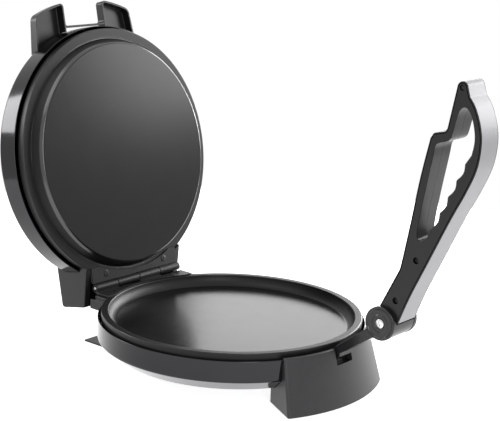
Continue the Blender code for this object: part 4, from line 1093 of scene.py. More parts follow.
class PANCAKE_OT_casings(PancakeStep):
    """Press the pan and the domed lid, with rolled rims and bent sheet corners"""
    bl_idname = "pancake.casings"
    bl_label = "Casings"

    def make(self):
        self.make_pan(sizes().sheet_bend)
        self.make_lid()
        self.make_bottom_cover()

    def make_pan(self, bend):
        bead = SHEET / 2
        rim = arc((CASING_RADIUS - bead, CASING_TOP_Z - bead), bead, math.pi, 0, BEAD_STEPS)
        floor = CASING_FLOOR_Z + SHEET
        outside = rounded([rim[-1], (CASING_RADIUS, CASING_WALL_Z, bend),
                           (CASING_BOTTOM_RADIUS, CASING_FLOOR_Z, bend),
                           (ACCESS_RADIUS, CASING_FLOOR_Z), (ACCESS_RADIUS, floor),
                           (CASING_BOTTOM_RADIUS - SHEET, floor, bend),
                           (CASING_RADIUS - SHEET, CASING_WALL_Z, bend), rim[0]], closed=False)
        hole = rod("hole", GLAND_NECK + GAP, CASING_RADIUS - OVERRUN, CASING_RADIUS + OVERRUN,
                   "X", (0, GLAND_Z))
        pan = cut(turned("pan", rim + outside[1:-1]), placed(hole, angle=GLAND_ANGLE))
        fit(pan, "dark_sheet_metal", "base", ["base_casing"])

    def make_lid(self):
        bead = SHEET / 2
        centre = CASING_RADIUS - CROWN_SHOULDER
        high = CROWN_Z - LID_WALL_Z
        outside = arc((centre, LID_WALL_Z), (CROWN_SHOULDER, high), 0, QUARTER_TURN,
                      CROWN_STEPS)
        inside = arc((centre, LID_WALL_Z), (CROWN_SHOULDER - SHEET, high - SHEET),
                     QUARTER_TURN, 0, CROWN_STEPS)
        rim = arc((CASING_RADIUS - bead, LID_RIM_Z + bead), bead, math.pi, FULL_TURN,
                  BEAD_STEPS)
        lid = turned("lid_shell", [(0, CROWN_Z - SHEET)] + inside + rim + outside + [(0, CROWN_Z)])
        fit(lid, "dark_sheet_metal", "lid", ["lid_casing"])

    def make_bottom_cover(self):
        top, bead = CASING_FLOOR_Z - GAP, SHEET / 2
        edge = arc((COVER_RADIUS - bead, top - bead), bead, -QUARTER_TURN, QUARTER_TURN,
                   CORNER_STEPS)
        dish = [(0, top - SHEET + COVER_DISH_DEPTH),
                (COVER_DISH_RADIUS, top - SHEET + COVER_DISH_DEPTH),
                (COVER_DISH_RADIUS + COVER_DISH_SLOPE, top - SHEET)]
        cover = turned("service_cover", dish + edge + [(COVER_DISH_EDGE, top), (0, top)])
        fit(cover, "galvanised_steel", "base", ["bottom_cover"])


def pan_room():
    """The space that the pan fills."""
    casing, bottom = CASING_RADIUS + GAP, CASING_BOTTOM_RADIUS + GAP
    return turned("room", rounded([
        (0, CASING_FLOOR_Z - GAP), (bottom, CASING_FLOOR_Z - GAP, PAN_BEND),
        (casing, CASING_WALL_Z - GAP, PAN_BEND), (casing, FLANGE_Z), (0, FLANGE_Z)],
        closed=False))


class PANCAKE_OT_front_foot(PancakeStep):
    """Mould the front foot, hollow underneath, with its notch and two pads"""
    bl_idname = "pancake.front_foot"
    bl_label = "Front foot"

    def make(self):
        edge = sizes().moulding_rounding
        foot = stacked("foot_moulding", [
            (self.outline(level, inset), level) for inset, level in
            slab_levels(FOOT_BOTTOM_Z, FOOT_TOP_Z, edge, edge, EDGE_STEPS)], "Z")
        wall, roof = FOOT_INNER_RADIUS + FOOT_POCKET_WALL, CASING_FLOOR_Z - FOOT_POCKET_WALL
        under = FOOT_BOTTOM_Z - OVERRUN
        pocket = turned("pocket", [
            (wall, under), (FOOT_TOP_RADIUS, under), (FOOT_TOP_RADIUS, CASING_FLOOR_Z),
            (CASING_BOTTOM_RADIUS, roof), (wall, roof)],
            sides=POCKET_SIDES, sweep=2 * FOOT_POCKET_HALF_ANGLE,
            start=-QUARTER_TURN - FOOT_POCKET_HALF_ANGLE)
        notch = slab("notch", rectangle((-NOTCH_WIDTH / 2, -NOTCH_FRONT),
                                        (NOTCH_WIDTH / 2, -NOTCH_BACK)),
                     NOTCH_Z, FOOT_TOP_Z + OVERRUN, "Z")
        seats = [rod("seat", PAD_RADIUS + GAP, under, GROUND_Z + PAD_THICKNESS + GAP, "Z", place)
                 for place in self.pad_places()]
        cut(foot, pan_room(), pocket, notch, *seats)
        fit(foot, "gloss_black_plastic", "base", ["front_foot"])
        self.make_pads()

    def outline(self, level, inset):
        """The foot's plan at a level, its two outer corners rounded."""
        share = (level - FOOT_BOTTOM_Z) / (FOOT_TOP_Z - FOOT_BOTTOM_Z)
        outer = FOOT_BOTTOM_RADIUS + (FOOT_TOP_RADIUS - FOOT_BOTTOM_RADIUS) * share - inset
        inner = FOOT_INNER_RADIUS + inset
        corner = sizes().foot_corner - inset
        run = outer - corner
        swing = FOOT_HALF_ANGLE - math.asin((inset + corner) / run)
        half = FOOT_HALF_ANGLE - math.asin(inset / inner)
        plan = [self.on_ring(half * (i / FOOT_STEPS - 1), inner)
                for i in range(2 * FOOT_STEPS + 1)]
        centre, aim = Vector(self.on_ring(swing, run)), Vector(self.on_ring(swing, corner))
        across = Vector((-aim.y, aim.x))
        for step in range(FOOT_CORNER_STEPS + 1):
            angle = QUARTER_TURN * (1 - step / FOOT_CORNER_STEPS)
            plan.append(tuple(centre + aim * math.cos(angle) - across * math.sin(angle)))
        front = [self.on_ring(swing * (1 - i / FOOT_STEPS), outer)
                 for i in range(1, 2 * FOOT_STEPS)]
        return plan + front + [(-x, y) for x, y in plan[-FOOT_CORNER_STEPS - 1:]][::-1]

    def on_ring(self, angle, radius):
        """A point on a circle about the plates, by its angle to the left of the front."""
        return (-math.sin(angle) * radius, -math.cos(angle) * radius)

    def pad_places(self):
        ring = (FOOT_BOTTOM_RADIUS + FOOT_INNER_RADIUS) / 2
        return [self.on_ring(-side * PAD_HALF_ANGLE, ring) for side in (-1, 1)]

    def make_pads(self):
        soft = SMALL_ROUNDING
        for i, place in enumerate(self.pad_places()):
            pad = turned(f"grip_pad_{i + 1}", [
                (0, PAD_DIMPLE_DEPTH), (PAD_DIMPLE_RADIUS - PAD_DIMPLE_DEPTH, PAD_DIMPLE_DEPTH),
                (PAD_DIMPLE_RADIUS, 0),
                *arc((PAD_RADIUS - soft, soft), soft, -QUARTER_TURN, 0, PAD_STEPS),
                (PAD_RADIUS, PAD_THICKNESS), (0, PAD_THICKNESS)], sizes().small_sides)
            fit(placed(pad, (*place, GROUND_Z)), "rubber", "base", [f"foot_pad_{i + 1}"])


class PANCAKE_OT_rear_foot(PancakeStep):
    """Bend the rear foot from one strip"""
    bl_idname = "pancake.rear_foot"
    bl_label = "Rear foot"

    def make(self):
        top, sheet, web = CASING_FLOOR_Z - GAP, REAR_FOOT_SHEET, REAR_FOOT_WEB
        inner, outer = REAR_FOOT_BEND, REAR_FOOT_BEND + sheet
        outline = rounded([
            (web - REAR_FOOT_LAP, top), (web, top, outer), (web, GROUND_Z + sheet, inner),
            (REAR_FOOT_BACK, GROUND_Z + sheet), (REAR_FOOT_BACK, GROUND_Z),
            (web - sheet, GROUND_Z, outer), (web - sheet, top - sheet, inner),
            (web - REAR_FOOT_LAP, top - sheet)])
        foot = slab("rear_strip", outline, -REAR_FOOT_HALF_WIDTH, REAR_FOOT_HALF_WIDTH, "X",
                    FINE_ROUNDING, FINE_ROUNDING, 2)
        fit(foot, "black_steel", "base", ["rear_foot"])


class PANCAKE_OT_hinge(PancakeStep):
    """Form the hinge: support, two leaves with rolled knuckles, pin and screws"""
    bl_idname = "pancake.hinge"
    bl_label = "Hinge"

    def make(self):
        self.make_support()
        for side, body in ((-1, "base"), (1, "lid")):
            seat = (FLANGE_Z if side < 0 else LID_FLANGE_Z) - side * GAP
            self.make_leaf(side, seat, body)
            self.make_screws(side, seat, body)
        pin = rod("hinge_spindle", PIN_RADIUS, -HINGE_HALF_LENGTH, HINGE_HALF_LENGTH, "X",
                  (HINGE_BACK, HINGE_Z), SMALL_ROUNDING)
        fit(pin, "bright_steel", "base", ["hinge_pin"])

    def make_support(self):
        top = FLANGE_Z - FLANGE_THICKNESS - GAP
        edge = sizes().moulding_rounding
        outline = rectangle((-LUG_HALF_WIDTH, LUG_FRONT), (LUG_HALF_WIDTH, SUPPORT_BACK),
                            SUPPORT_CORNER)
        support = slab("hinge_block", outline, top - SUPPORT_HEIGHT, top, "Z", edge, edge)
        plate, casing = PLATE_RADIUS + GAP, CASING_RADIUS + GAP
        room = turned("room", [
            (0, GROUND_Z), (CASING_BOTTOM_RADIUS + GAP, GROUND_Z),
            (CASING_BOTTOM_RADIUS + GAP, CASING_FLOOR_Z - GAP), (casing, CASING_WALL_Z - GAP),
            (casing, CASING_TOP_Z + GAP), (plate, CASING_TOP_Z + GAP), (plate, LID_FLANGE_Z),
            (0, LID_FLANGE_Z)])
        fit(cut(support, room), "satin_black_plastic", "base", ["hinge_support"])

    def make_leaf(self, side, seat, body):
        """A plate on its lug, sunk for its screws, with every other knuckle of the hinge."""
        face = seat - side * LEAF_THICKNESS
        inner_edge = HINGE_BACK - KNUCKLE_RADIUS - GAP
        outline = rectangle((-HINGE_HALF_LENGTH, LEAF_FRONT), (HINGE_HALF_LENGTH, inner_edge),
                            SOFT_ROUNDING)
        roundings = (0.0, FINE_ROUNDING)[::-side]
        leaf = slab("leaf", outline, *sorted((seat, face)), "Z", *roundings)
        sink = sorted((face + side * LEAF_THICKNESS / 2, face - side * OVERRUN))
        cut(leaf, rod("bowl", PLATE_RADIUS - RIM_WIDTH + LEAF_BOWL_GAP, DISC_Z,
                      LID_FLANGE_Z + OVERRUN, "Z", sides=sizes().round_sides),
            *(rod("sink", SCREW_HEAD + GAP, *sink, "Z", (x, LEAF_SCREW_BACK))
              for x in (-LEAF_SCREW_REACH, LEAF_SCREW_REACH)))
        pieces = [leaf]
        pitch = 2 * HINGE_HALF_LENGTH / KNUCKLE_COUNT
        sunk_seat = seat + side * TONGUE_SINK
        tongue = [(inner_edge - LEAF_THICKNESS, sunk_seat), (inner_edge - LEAF_THICKNESS, face),
                  (HINGE_BACK, HINGE_Z + side * PIN_RADIUS),
                  (HINGE_BACK, HINGE_Z + side * (KNUCKLE_RADIUS - GAP)),
                  (inner_edge + LEAF_THICKNESS, sunk_seat)]
        for i in range((1 + side) // 2, KNUCKLE_COUNT, 2):
            start = -HINGE_HALF_LENGTH + i * pitch + GAP
            end = start + pitch - 2 * GAP
            pieces.append(slab("tongue", tongue, start, end, "X"))
            knuckle = rod("knuckle", KNUCKLE_RADIUS, start, end, "X", (HINGE_BACK, HINGE_Z),
                          SOFT_ROUNDING)
            pieces.append(cut(knuckle, rod("bore", PIN_RADIUS + GAP / 2, start - OVERRUN,
                                           end + OVERRUN, "X", (HINGE_BACK, HINGE_Z))))
        leaf = gathered(f"rolled_leaf_{body}", pieces)
        fit(leaf, "black_steel", body, [f"hinge_leaf_{body}"])

    def make_screws(self, side, seat, body):
        level = seat - side * (LEAF_THICKNESS / 2 + GAP / 2)
        for i, x in enumerate((-LEAF_SCREW_REACH, LEAF_SCREW_REACH)):
            piece = screw(f"leaf_screw_{body}_{i + 1}", SCREW_HEAD,
                          LEAF_THICKNESS * LEAF_SCREW_SHARE, SCREW_SHANK,
                          SCREW_LENGTH - LEAF_THICKNESS, LEAF_SCREW_DOME)
            placed(piece, (x, LEAF_SCREW_BACK, level), 0 if side < 0 else math.pi, "X")
            fit(piece, "black_steel", body, [f"hinge_screw_{body}_{i + 1}"])


class PANCAKE_OT_housing(PancakeStep):
    """Mould the hood behind the hinge, with two cheeks, a back and a top"""
    bl_idname = "pancake.housing"
    bl_label = "Hinge housing"

    def make(self):
        edge = sizes().moulding_rounding * HOUSING_EDGE_SHARE
        top, nose = LID_FLANGE_Z + HOUSING_HEIGHT, LID_FLANGE_Z - HOUSING_NOSE_DROP
        outline = rounded([
            (HOUSING_FRONT, nose, HOUSING_NOSE_ROUNDING),
            (LEAF_FRONT, nose, HOUSING_THROAT_ROUNDING),
            (HOUSING_BACK, LID_FLANGE_Z + HOUSING_HEEL_RISE, HOUSING_HEEL_ROUNDING),
            (HOUSING_BACK, top, HOUSING_ROUNDING),
            (HOUSING_FRONT, top, HOUSING_NOSE_ROUNDING)], SMOOTH_CORNER_STEPS)
        housing = slab("hinge_hood", outline, -HOUSING_HALF_WIDTH, HOUSING_HALF_WIDTH, "X",
                       edge, edge)
        inner = HOUSING_HALF_WIDTH - HOUSING_WALL
        hollow = slab("hollow", rectangle((HOUSING_FRONT - OVERRUN, DISC_Z),
                                          (HOUSING_BACK - HOUSING_SKIN, top - HOUSING_SKIN),
                                          HOUSING_HOLLOW_ROUNDING), -inner, inner, "X")
        fit(cut(housing, hollow, lid_room()), "satin_black_plastic", "lid",
            ["lid_hinge_housing"])


def lid_room():
    """The space that the closed lid fills."""
    plate, casing = PLATE_RADIUS + GAP, CASING_RADIUS + GAP
    shoulder = arc((casing - CROWN_SHOULDER, LID_WALL_Z + GAP),
                   (CROWN_SHOULDER, CROWN_Z - LID_WALL_Z), 0, QUARTER_TURN, CROWN_STEPS)
    return turned("lid_room", [(0, DISC_Z), (plate, DISC_Z), (plate, LID_RIM_Z - GAP),
                               (casing, LID_RIM_Z - GAP)] + shoulder + [(0, CROWN_Z + GAP)])


class PANCAKE_OT_fork(PancakeStep):
    """Mould the guide fork: two hollow prongs and the bar that the lever presses on"""
    bl_idname = "pancake.fork"
    bl_label = "Guide fork"

    def make(self):
        edge = sizes().moulding_rounding
        mouth = edge * MOUTH_EDGE_SHARE
        low, high = FORK_LOW, FORK_LOW + FORK_DEPTH
        prongs = []
        for side in (1, -1):
            shell = stacked("shell", self.rings(0.0, low, high, mouth, edge), "Z")
            hollow = stacked("hollow", self.rings(FORK_WALL, low - FORK_WALL, high - FORK_WALL,
                                                  0.0, edge), "Z")
            prongs.append(mirrored(cut(shell, hollow), side))
        side = FORK_GAP_HALF + FORK_WALL * FORK_BAR_BITE_SHARE
        root = FORK_BAR_FRONT + FORK_FILLET + GAP
        half = [(side, -FORK_BAR_BACK), (side, -root), (FORK_GAP_HALF, -root),
                (FORK_GAP_HALF, -FORK_BAR_FRONT, FORK_FILLET)]
        outline = half[:1] + [(-x, *rest) for x, *rest in half] + half[:0:-1]
        bar = slab("bar", rounded(outline), low + GAP, high - FORK_BAR_DROP, "Z", mouth, mouth)
        fork = joined(*prongs, bar)
        fork.name = "lever_guide"
        fit(cut(fork, lid_room()), "satin_black_plastic", "lid", ["guide_fork"])

    def rings(self, inset, low, high, low_edge, high_edge):
        """The prong's plan from its mouth to its roof, with rounded edges and a little draft."""
        levels = (edge_levels(low, low_edge, 1, EDGE_STEPS)[:EDGE_STEPS]
                  + edge_levels(high, high_edge, -1, EDGE_STEPS + 1))
        return [(self.plan(inset + extra + FORK_DRAFT * (level - low) / (high - low)), level)
                for extra, level in levels]

    def plan(self, inset):
        reach = FORK_REACH - inset
        nose, heel = (max(radius - inset, LIP_ROUNDING) for radius in (FORK_NOSE, FORK_CORNER))
        left, right = FORK_GAP_HALF + inset + nose, FORK_HALF_WIDTH - inset - heel
        start = -math.acos(left / (reach - nose))
        end = -math.acos(right / (reach - heel))
        outline = [(left - nose, -FORK_ROOT)]
        outline += arc((left, (reach - nose) * math.sin(start)), nose, -math.pi, start,
                       PRONG_CORNER_STEPS)
        outline += arc((0, 0), reach, start, end, PRONG_STEPS)[1:-1]
        outline += arc((right, (reach - heel) * math.sin(end)), heel, end, 0,
                       PRONG_CORNER_STEPS)
        return outline + [(FORK_HALF_WIDTH + FORK_FLARE - inset, -FORK_ROOT)]


class PANCAKE_OT_pivot(PancakeStep):
    """Cast the pivot arm and its open collar, and turn the caps and their screws"""
    bl_idname = "pancake.pivot"
    bl_label = "Pivot"

    def make(self):
        self.make_arm(sizes().moulding_rounding)
        shaft = rod("pivot_spindle", SHAFT_RADIUS, -LEVER_HALF_WIDTH, LEVER_HALF_WIDTH, "X",
                    (-PIVOT_FORWARD, PIVOT_Z), LIP_ROUNDING)
        fit(shaft, "bright_steel", "base", ["pivot_shaft"])
        for side, name in SIDES:
            self.make_cap(side, name)

    def make_arm(self, edge):
        half, width = ARM_WIDTH / 2, NOTCH_WIDTH / 2 - GAP
        pivot = (-PIVOT_FORWARD, PIVOT_Z)
        face = -CASING_RADIUS - ARM_FOOT_REACH
        low = NOTCH_Z + GAP
        block = -CASING_RADIUS - ARM_BLOCK_REACH
        foot = slab("foot", rounded([
            (block, low, SOFT_ROUNDING), (-CASING_BOTTOM_RADIUS, low),
            (-CASING_BOTTOM_RADIUS, FOOT_TOP_Z), (block, FOOT_TOP_Z, ARM_CORNER)]),
            -width, width, "X", edge * MOUTH_EDGE_SHARE, edge * MOUTH_EDGE_SHARE)
        rise = math.atan2(PIVOT_Z - FOOT_TOP_Z, PIVOT_FORWARD - CASING_RADIUS)
        across = Vector((math.sin(rise), math.cos(rise))) * EYE_RADIUS
        top, base = across * ARM_NECK_TOP_SHARE, across * ARM_NECK_BASE_SHARE
        arm = slab("arm", rounded([
            (face, FOOT_TOP_Z - ARM_THICKNESS / 2, ARM_CORNER),
            (face, FOOT_TOP_Z - ARM_THICKNESS), (-CASING_RADIUS + GAP, low),
            (-CASING_BOTTOM_RADIUS, FOOT_TOP_Z),
            (-CASING_RADIUS, FOOT_TOP_Z + ARM_CORNER, ARM_ROOT_FILLET),
            (pivot[0] + top.x, pivot[1] + top.y), (pivot[0] - base.x, pivot[1] - base.y)]),
            -half, half, "X", edge, edge)
        eye = rod("eye", EYE_RADIUS, -half - EYE_PROUD, half + EYE_PROUD, "X", pivot, edge * 0.5)
        middle = (COLLAR_OUTER + COLLAR_INNER) / 2
        end = (pivot[0] + middle * math.cos(COLLAR_BACK_ANGLE),
               pivot[1] + middle * math.sin(COLLAR_BACK_ANGLE))
        sector = arc(pivot, COLLAR_OUTER, COLLAR_FRONT_ANGLE, COLLAR_BACK_ANGLE, COLLAR_STEPS)
        sector += arc(end, (COLLAR_OUTER - COLLAR_INNER) / 2, COLLAR_BACK_ANGLE,
                      COLLAR_BACK_ANGLE + math.pi, CORNER_STEPS)[1:-1]
        sector += arc(pivot, COLLAR_INNER, COLLAR_BACK_ANGLE, COLLAR_FRONT_ANGLE, COLLAR_STEPS)
        collar = slab("collar", sector, -LEVER_HALF_WIDTH, LEVER_HALF_WIDTH, "X",
                      SMALL_ROUNDING, SMALL_ROUNDING)
        joined(foot, arm, eye, collar)
        bore = rod("bore", SHAFT_RADIUS + GAP, -CAP_FACE, CAP_FACE, "X", pivot)
        foot.name = "pivot_casting"
        fit(cut(foot, bore, pan_room()), "gloss_black_plastic", "base", ["pivot_arm"])

    def make_cap(self, side, name):
        """A disc with a raised rim, a dished ring, a boss and a well for its screw."""
        seat, well = LEVER_HALF_WIDTH + GAP, CAP_FACE - CAP_SINK
        well_radius = CAP_SCREW_RADIUS + GAP
        profile = rounded([
            (CAP_BORE, seat), (CAP_RADIUS, seat, LIP_ROUNDING),
            *((CAP_RADIUS - inward, CAP_FACE - down, soft) for inward, down, soft in CAP_RIM),
            *((well_radius + outward, CAP_FACE - down, soft) for outward, down, soft in CAP_BOSS),
            (well_radius, well), (CAP_BORE, well)])
        cap = turned(f"cap_{name}", profile, PIVOT_SIDES)
        bolt = screw(f"cap_bolt_{name}", CAP_SCREW_RADIUS, CAP_SINK - GAP, *CAP_SCREW_SHANK,
                     CAP_SCREW_DOME)
        placed(bolt, (0, 0, well + GAP), CAP_SCREW_TURN)
        for piece, slot, node in ((cap, "gloss_black_plastic", "pivot_cap"),
                                  (bolt, "bright_steel", "cap_screw")):
            placed(piece, (0, -PIVOT_FORWARD, PIVOT_Z), side * QUARTER_TURN, "Y")
            fit(piece, slot, "base", [f"{node}_{name}"])


def lever_back():
    """The outer edge from the collar, over the bow and round the tip."""
    run = smooth_line(scaled(OUTER_SHARES), BACK_STEPS)
    tip = arc((0, LEVER_LENGTH), TIP_RADIUS, TIP_START_ANGLE, 0, TIP_STEPS)
    return run + tip


def finger_line():
    """The scalloped side of the hand loop, one hollow for each finger, with soft ridges."""
    start, end = (Vector(point) for point in scaled((FINGER_START_SHARE, FINGER_END_SHARE)))
    points, steps = [], FINGER_COUNT * FINGER_STEPS
    for i in range(steps + 1):
        wave = math.hypot(math.sin(math.pi * FINGER_COUNT * i / steps), FINGER_RIDGE)
        wave = (wave - FINGER_RIDGE) / (math.hypot(1, FINGER_RIDGE) - FINGER_RIDGE)
        point = start.lerp(end, i / steps)
        points.append((point.x + FINGER_DEPTH * (1 - wave), point.y))
    return points


class PANCAKE_OT_lever(PancakeStep):
    """Mould the lever's two halves, with the hand loop and its finger hollows"""
    bl_idname = "pancake.lever"
    bl_label = "Lever halves"

    def make(self):
        for side, name in SIDES:
            self.make_half(side, name)

    def outline(self):
        back = lever_back()
        tail = smooth_line(scaled(TAIL_SHARES), CURVE_STEPS)
        shoulder = [corner + (radius,) for corner, radius in
                    zip(scaled(SHOULDER_SHARES), SHOULDER_ROUNDINGS)]
        press = rounded([back[-1]] + shoulder + tail[:1], SMOOTH_CORNER_STEPS,
                        closed=False)[1:-1]
        press += tail + scaled((TAIL_END_SHARE,))
        start, end = (math.atan2(point[1], point[0]) for point in (press[-1], back[0]))
        hub = arc((0, 0), HUB_RADIUS, start, end - FULL_TURN, HUB_STEPS)
        return back + press + hub[1:-1]

    def make_half(self, side, name):
        half, split, edge = LEVER_HALF_WIDTH, GAP / 2, sizes().lever_rounding
        body = slab(f"lever_shell_{name}", self.outline(), split, half, "X", SPLIT_ROUNDING,
                    edge, line=LEVER_LINE)
        loop = (smooth_line(scaled(LOOP_SHARES), CURVE_STEPS) + finger_line()
                + scaled((LOOP_END_SHARE,)))
        cut(body, self.flared(loop, half, edge))
        track = stretched(lever_back(), GAP)
        channel = offset_line(track, -COVER_SHEET - GAP) + offset_line(track, OVERRUN)[::-1]
        lip = half - COVER_INSET + GAP
        cheek = ARM_WIDTH / 2 + GAP
        cut(body, slab("channel", channel, -lip, lip, "X"),
            rod("room", HUB_CLEAR_RADIUS, -cheek, cheek, "X", sides=PIVOT_SIDES),
            rod("bore", SHAFT_RADIUS + GAP, -CAP_FACE, CAP_FACE, "X"),
            rod("tip", TIP_HOLE_RADIUS, -CAP_FACE, CAP_FACE, "X", (0, LEVER_LENGTH)))
        mirrored(body, side)
        if side < 0:
            seat = -half + LEVER_SCREW_SINK + LEVER_SCREW_HEIGHT
            for place in scaled(LEVER_SCREW_SHARES):
                cut(body, rod("well", LEVER_SCREW_HEAD + GAP, -CAP_FACE, seat + GAP, "X", place))
        fit(body, "satin_black_plastic", "lever", [f"lever_half_{name}"])

    def flared(self, outline, high, edge):
        """The cutter of the hand loop, wider at the outer face so that its edge is round."""
        rings = [(-OVERRUN, 0.0),
                 *((high - inset, grow) for inset, grow in quarter_bend(edge, EDGE_STEPS)),
                 (high + edge, edge + GAP)]
        return stacked("loop", [(drawn_in(outline, -grow), level) for level, grow in rings], "X")


class PANCAKE_OT_lever_trim(PancakeStep):
    """Form the bright strip of the lever, its tip pin and its screws"""
    bl_idname = "pancake.lever_trim"
    bl_label = "Lever trim"

    def make(self):
        lip, back = LEVER_HALF_WIDTH - COVER_INSET, lever_back()
        inner = offset_line(back, -COVER_SHEET)[::-1]
        strip = stacked("lever_strip", [
            (offset_line(back, -inset) + inner, level) for inset, level in
            slab_levels(-lip, lip, LIP_ROUNDING, LIP_ROUNDING, STRIP_STEPS)], "X")
        fit(strip, "satin_aluminium", "lever", ["lever_cover"], COVER_SHARP_ANGLE)
        pin = rod("tip_rivet", TIP_HOLE_RADIUS - GAP, -lip, lip, "X", (0, LEVER_LENGTH),
                  EDGE_ROUNDING)
        fit(pin, "black_steel", "lever", ["lever_tip_pin"])
        low = -LEVER_HALF_WIDTH + LEVER_SCREW_SINK + LEVER_SCREW_HEIGHT
        for i, place in enumerate(scaled(LEVER_SCREW_SHARES)):
            bolt = screw(f"lever_bolt_{i + 1}", LEVER_SCREW_HEAD, LEVER_SCREW_HEIGHT,
                         LEVER_SCREW_SHANK, ARM_WIDTH / 2 - GAP - low)
            placed(bolt, (low, *place), -QUARTER_TURN, "Y")
            fit(bolt, "black_steel", "lever", [f"lever_screw_{i + 1}"])


class PANCAKE_OT_underside(PancakeStep):
    """Turn the screws under the pan and the ribbed bush of the cord"""
    bl_idname = "pancake.underside"
    bl_label = "Underside"

    def make(self):
        floor = CASING_FLOOR_Z - GAP
        y = REAR_FOOT_WEB - REAR_FOOT_LAP / 2 - REAR_FOOT_SHEET
        rear = [(-REAR_FOOT_HALF_WIDTH / 2, y), (REAR_FOOT_HALF_WIDTH / 2, y)]
        groups = (("post_screw", self.on_circle(POST_RING, POST_BEARINGS), 0, SCREW_LENGTH),
                  ("cover_screw", self.on_circle(COVER_SCREW_RING, COVER_SCREW_BEARINGS),
                   SHEET + GAP, SCREW_LENGTH / 2),
                  ("rear_foot_screw", rear, REAR_FOOT_SHEET + GAP, SCREW_LENGTH / 2))
        for name, places, drop, length in groups:
            for i, place in enumerate(places):
                piece = screw(f"turned_{name}_{i + 1}", SCREW_HEAD, SCREW_HEAD_HEIGHT,
                              SCREW_SHANK, length)
                placed(piece, (*place, floor - drop), math.pi, "X")
                fit(piece, "bright_steel", "base", [f"{name}_{i + 1}"])
        self.make_bush()

    def on_circle(self, radius, bearings):
        turns = [math.radians(bearing) for bearing in bearings]
        return [(radius * math.cos(a), radius * math.sin(a)) for a in turns]

    def make_bush(self):
        """A bored bush with a flange and a ribbed, tapering tail."""
        wall, bore, neck = CASING_RADIUS, GLAND_NECK / 2, GLAND_NECK
        root = wall + GLAND_ROOT
        profile = [(bore, wall - OVERRUN), (neck, wall - OVERRUN), (neck, wall + GAP)]
        profile += rounded([(neck, wall + GAP), (GLAND_RADIUS, wall + GAP, LIP_ROUNDING),
                            (GLAND_RADIUS, wall + GLAND_FLANGE, SOFT_ROUNDING),
                            (GLAND_ROOT_RADIUS, root)], closed=False)[1:]
        for i in range(RIB_COUNT):
            crest = GLAND_RADIUS - RIB_DROP - i * RIB_TAPER
            profile += [(crest - inward, root + i * RIB_PITCH + along) for inward, along in RIB]
        profile += [(bore, wall + GLAND_LENGTH)]
        bush = placed(turned("cord_bush", profile, sizes().small_sides),
                      angle=QUARTER_TURN, axis="Y")
        placed(bush, (0, 0, GLAND_Z), GLAND_ANGLE)
        fit(bush, "rubber", "base", ["cord_gland"])


class PANCAKE_OT_inside(PancakeStep):
    """Give the heaters, shields, posts and thermostats inside both halves their finish"""
    bl_idname = "pancake.inside"
    bl_label = "Inside"

    def make(self):
        for name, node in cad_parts.items():
            if node.hide_render:
                continue
            finish = next(finish for word, finish in INSIDE_FINISHES if word in name)
            for material_slot in node.material_slots:
                material_slot.material = bpy.data.materials[finish + "_finish"]


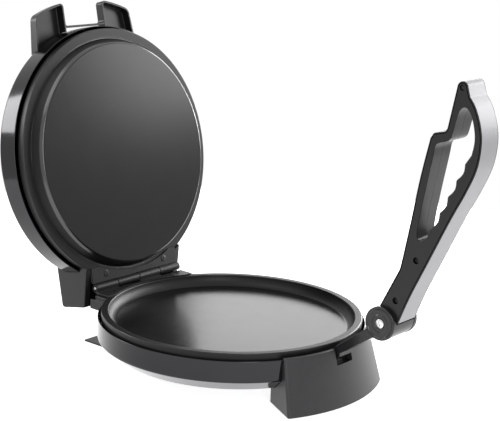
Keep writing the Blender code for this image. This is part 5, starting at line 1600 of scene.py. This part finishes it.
class PANCAKE_OT_stage(PancakeStep):
    """Lay the pale floor, light the room and set the camera at the photograph's angle"""
    bl_idname = "pancake.stage"
    bl_label = "Stage"

    def make(self):
        self.make_floor()
        self.make_room()
        self.make_lamps()
        self.make_camera()
        bpy.context.scene.view_settings.view_transform = "Standard"

    def make_floor(self):
        """A floor that is white to the camera and in reflections, and keeps the shadow."""
        bm = bmesh.new()
        bmesh.ops.create_circle(bm, cap_ends=True, segments=FLOOR_SIDES,
                                 radius=sizes().floor_radius)
        floor = placed(piece_from("floor", bm), (0, 0, GROUND_Z - FLOOR_SINK))
        material = bpy.data.materials.new("pale_floor")
        material.use_nodes = True
        mix = Recipe(material.node_tree)
        level = self.seen(mix) * FLOOR_LIFT
        mix.surface(mix.shades(finishes().floor, mix.noise(mix.place(), 3.0), 0.985, 1.015), 0.9,
                    Specular_IOR_Level=0.1, Emission_Color=mix.vector(level, level, level),
                    Emission_Strength=1.0)
        floor.data.materials.append(material)

    def seen(self, mix):
        """1 where the camera, a reflection or a clear piece shows the stage, 0 for soft light."""
        camera, glossy, clear = (mix.node("ShaderNodeLightPath", output=i) for i in (0, 3, 6))
        return (camera + glossy + clear).kept()

    def make_room(self):
        """A white room to the camera and in reflections, that lights the product softly."""
        world = bpy.data.worlds.new("studio_room")
        bpy.context.scene.world = world
        world.use_nodes = True
        mix = Recipe(world.node_tree)
        seen = self.seen(mix)
        background = world.node_tree.nodes["Background"]
        background.inputs["Color"].default_value = (1.0, 1.0, 1.0, 1.0)
        feed(world.node_tree, background.inputs["Strength"],
             seen + (1 - seen) * (ROOM_LEVEL * finishes().room_light))

    def make_lamps(self):
        for name, bearing, height, distance, size, power in LAMPS:
            side, up = math.radians(bearing), math.radians(height)
            away = Vector((math.sin(side) * math.cos(up), -math.cos(side) * math.cos(up),
                           math.sin(up)))
            lamp = bpy.data.lights.new(name, "AREA")
            lamp.shape = "RECTANGLE"
            lamp.size, lamp.size_y = size
            lamp.energy = power * finishes().lamp_power
            holder = bpy.data.objects.new(name, lamp)
            holder.location = Vector(LAMP_AIM) + away * distance
            holder.rotation_euler = (-away).to_track_quat("-Z", "Y").to_euler()
            holder.visible_camera = False
            bpy.context.scene.collection.objects.link(holder)

    def make_camera(self):
        aim = Vector((math.sin(CAMERA_YAW) * math.cos(CAMERA_PITCH),
                      math.cos(CAMERA_YAW) * math.cos(CAMERA_PITCH), -math.sin(CAMERA_PITCH)))
        right = Vector((math.cos(CAMERA_YAW), -math.sin(CAMERA_YAW), 0))
        up = right.cross(aim)
        cosine, sine = math.cos(CAMERA_ROLL), math.sin(CAMERA_ROLL)
        tilted_right = right * cosine + up * sine
        tilted_up = up * cosine - right * sine
        matrix = Matrix((tilted_right, tilted_up, -aim)).transposed().to_4x4()
        matrix.translation = CAMERA_PLACE
        data = bpy.data.cameras.new("photo_camera")
        wide, high = PICTURE_SIZE
        data.sensor_fit = "HORIZONTAL"
        data.sensor_width = SENSOR_WIDTH
        data.lens = CAMERA_FOCUS / wide * SENSOR_WIDTH
        data.shift_x = (wide / 2 - CAMERA_CENTRE[0]) / wide
        data.shift_y = (CAMERA_CENTRE[1] - high / 2) / wide
        camera = bpy.data.objects.new("photo_camera", data)
        camera.matrix_world = matrix
        bpy.context.scene.collection.objects.link(camera)
        bpy.context.scene.camera = camera


STEPS = (PANCAKE_OT_stage, PANCAKE_OT_finishes, PANCAKE_OT_plates, PANCAKE_OT_casings,
         PANCAKE_OT_front_foot, PANCAKE_OT_rear_foot, PANCAKE_OT_hinge, PANCAKE_OT_housing,
         PANCAKE_OT_fork, PANCAKE_OT_pivot, PANCAKE_OT_lever, PANCAKE_OT_lever_trim,
         PANCAKE_OT_underside, PANCAKE_OT_inside)


class PANCAKE_PT_panel(bpy.types.Panel):
    """Lists the steps of the pancake maker's finish"""
    bl_label = "Pancake Maker"
    bl_idname = "PANCAKE_PT_panel"
    bl_space_type = "VIEW_3D"
    bl_region_type = "UI"
    bl_category = "Pancake Maker"

    def draw(self, context):
        for step in STEPS:
            self.layout.operator(step.bl_idname)
        for group in (context.scene.pancake_sizes, context.scene.pancake_finishes):
            box = self.layout.box()
            for name in group.__annotations__:
                box.prop(group, name)


CLASSES = (PancakeSizes, PancakeFinishes) + STEPS + (PANCAKE_PT_panel,)


def register():
    for item in CLASSES:
        bpy.utils.register_class(item)
    bpy.types.Scene.pancake_sizes = bpy.props.PointerProperty(type=PancakeSizes)
    bpy.types.Scene.pancake_finishes = bpy.props.PointerProperty(type=PancakeFinishes)


def unregister():
    del bpy.types.Scene.pancake_finishes
    del bpy.types.Scene.pancake_sizes
    for item in reversed(CLASSES):
        bpy.utils.unregister_class(item)


def main():
    register()
    for step in STEPS:
        getattr(bpy.ops.pancake, step.bl_idname.split(".")[1])()


if __name__ == "__main__":
    main()
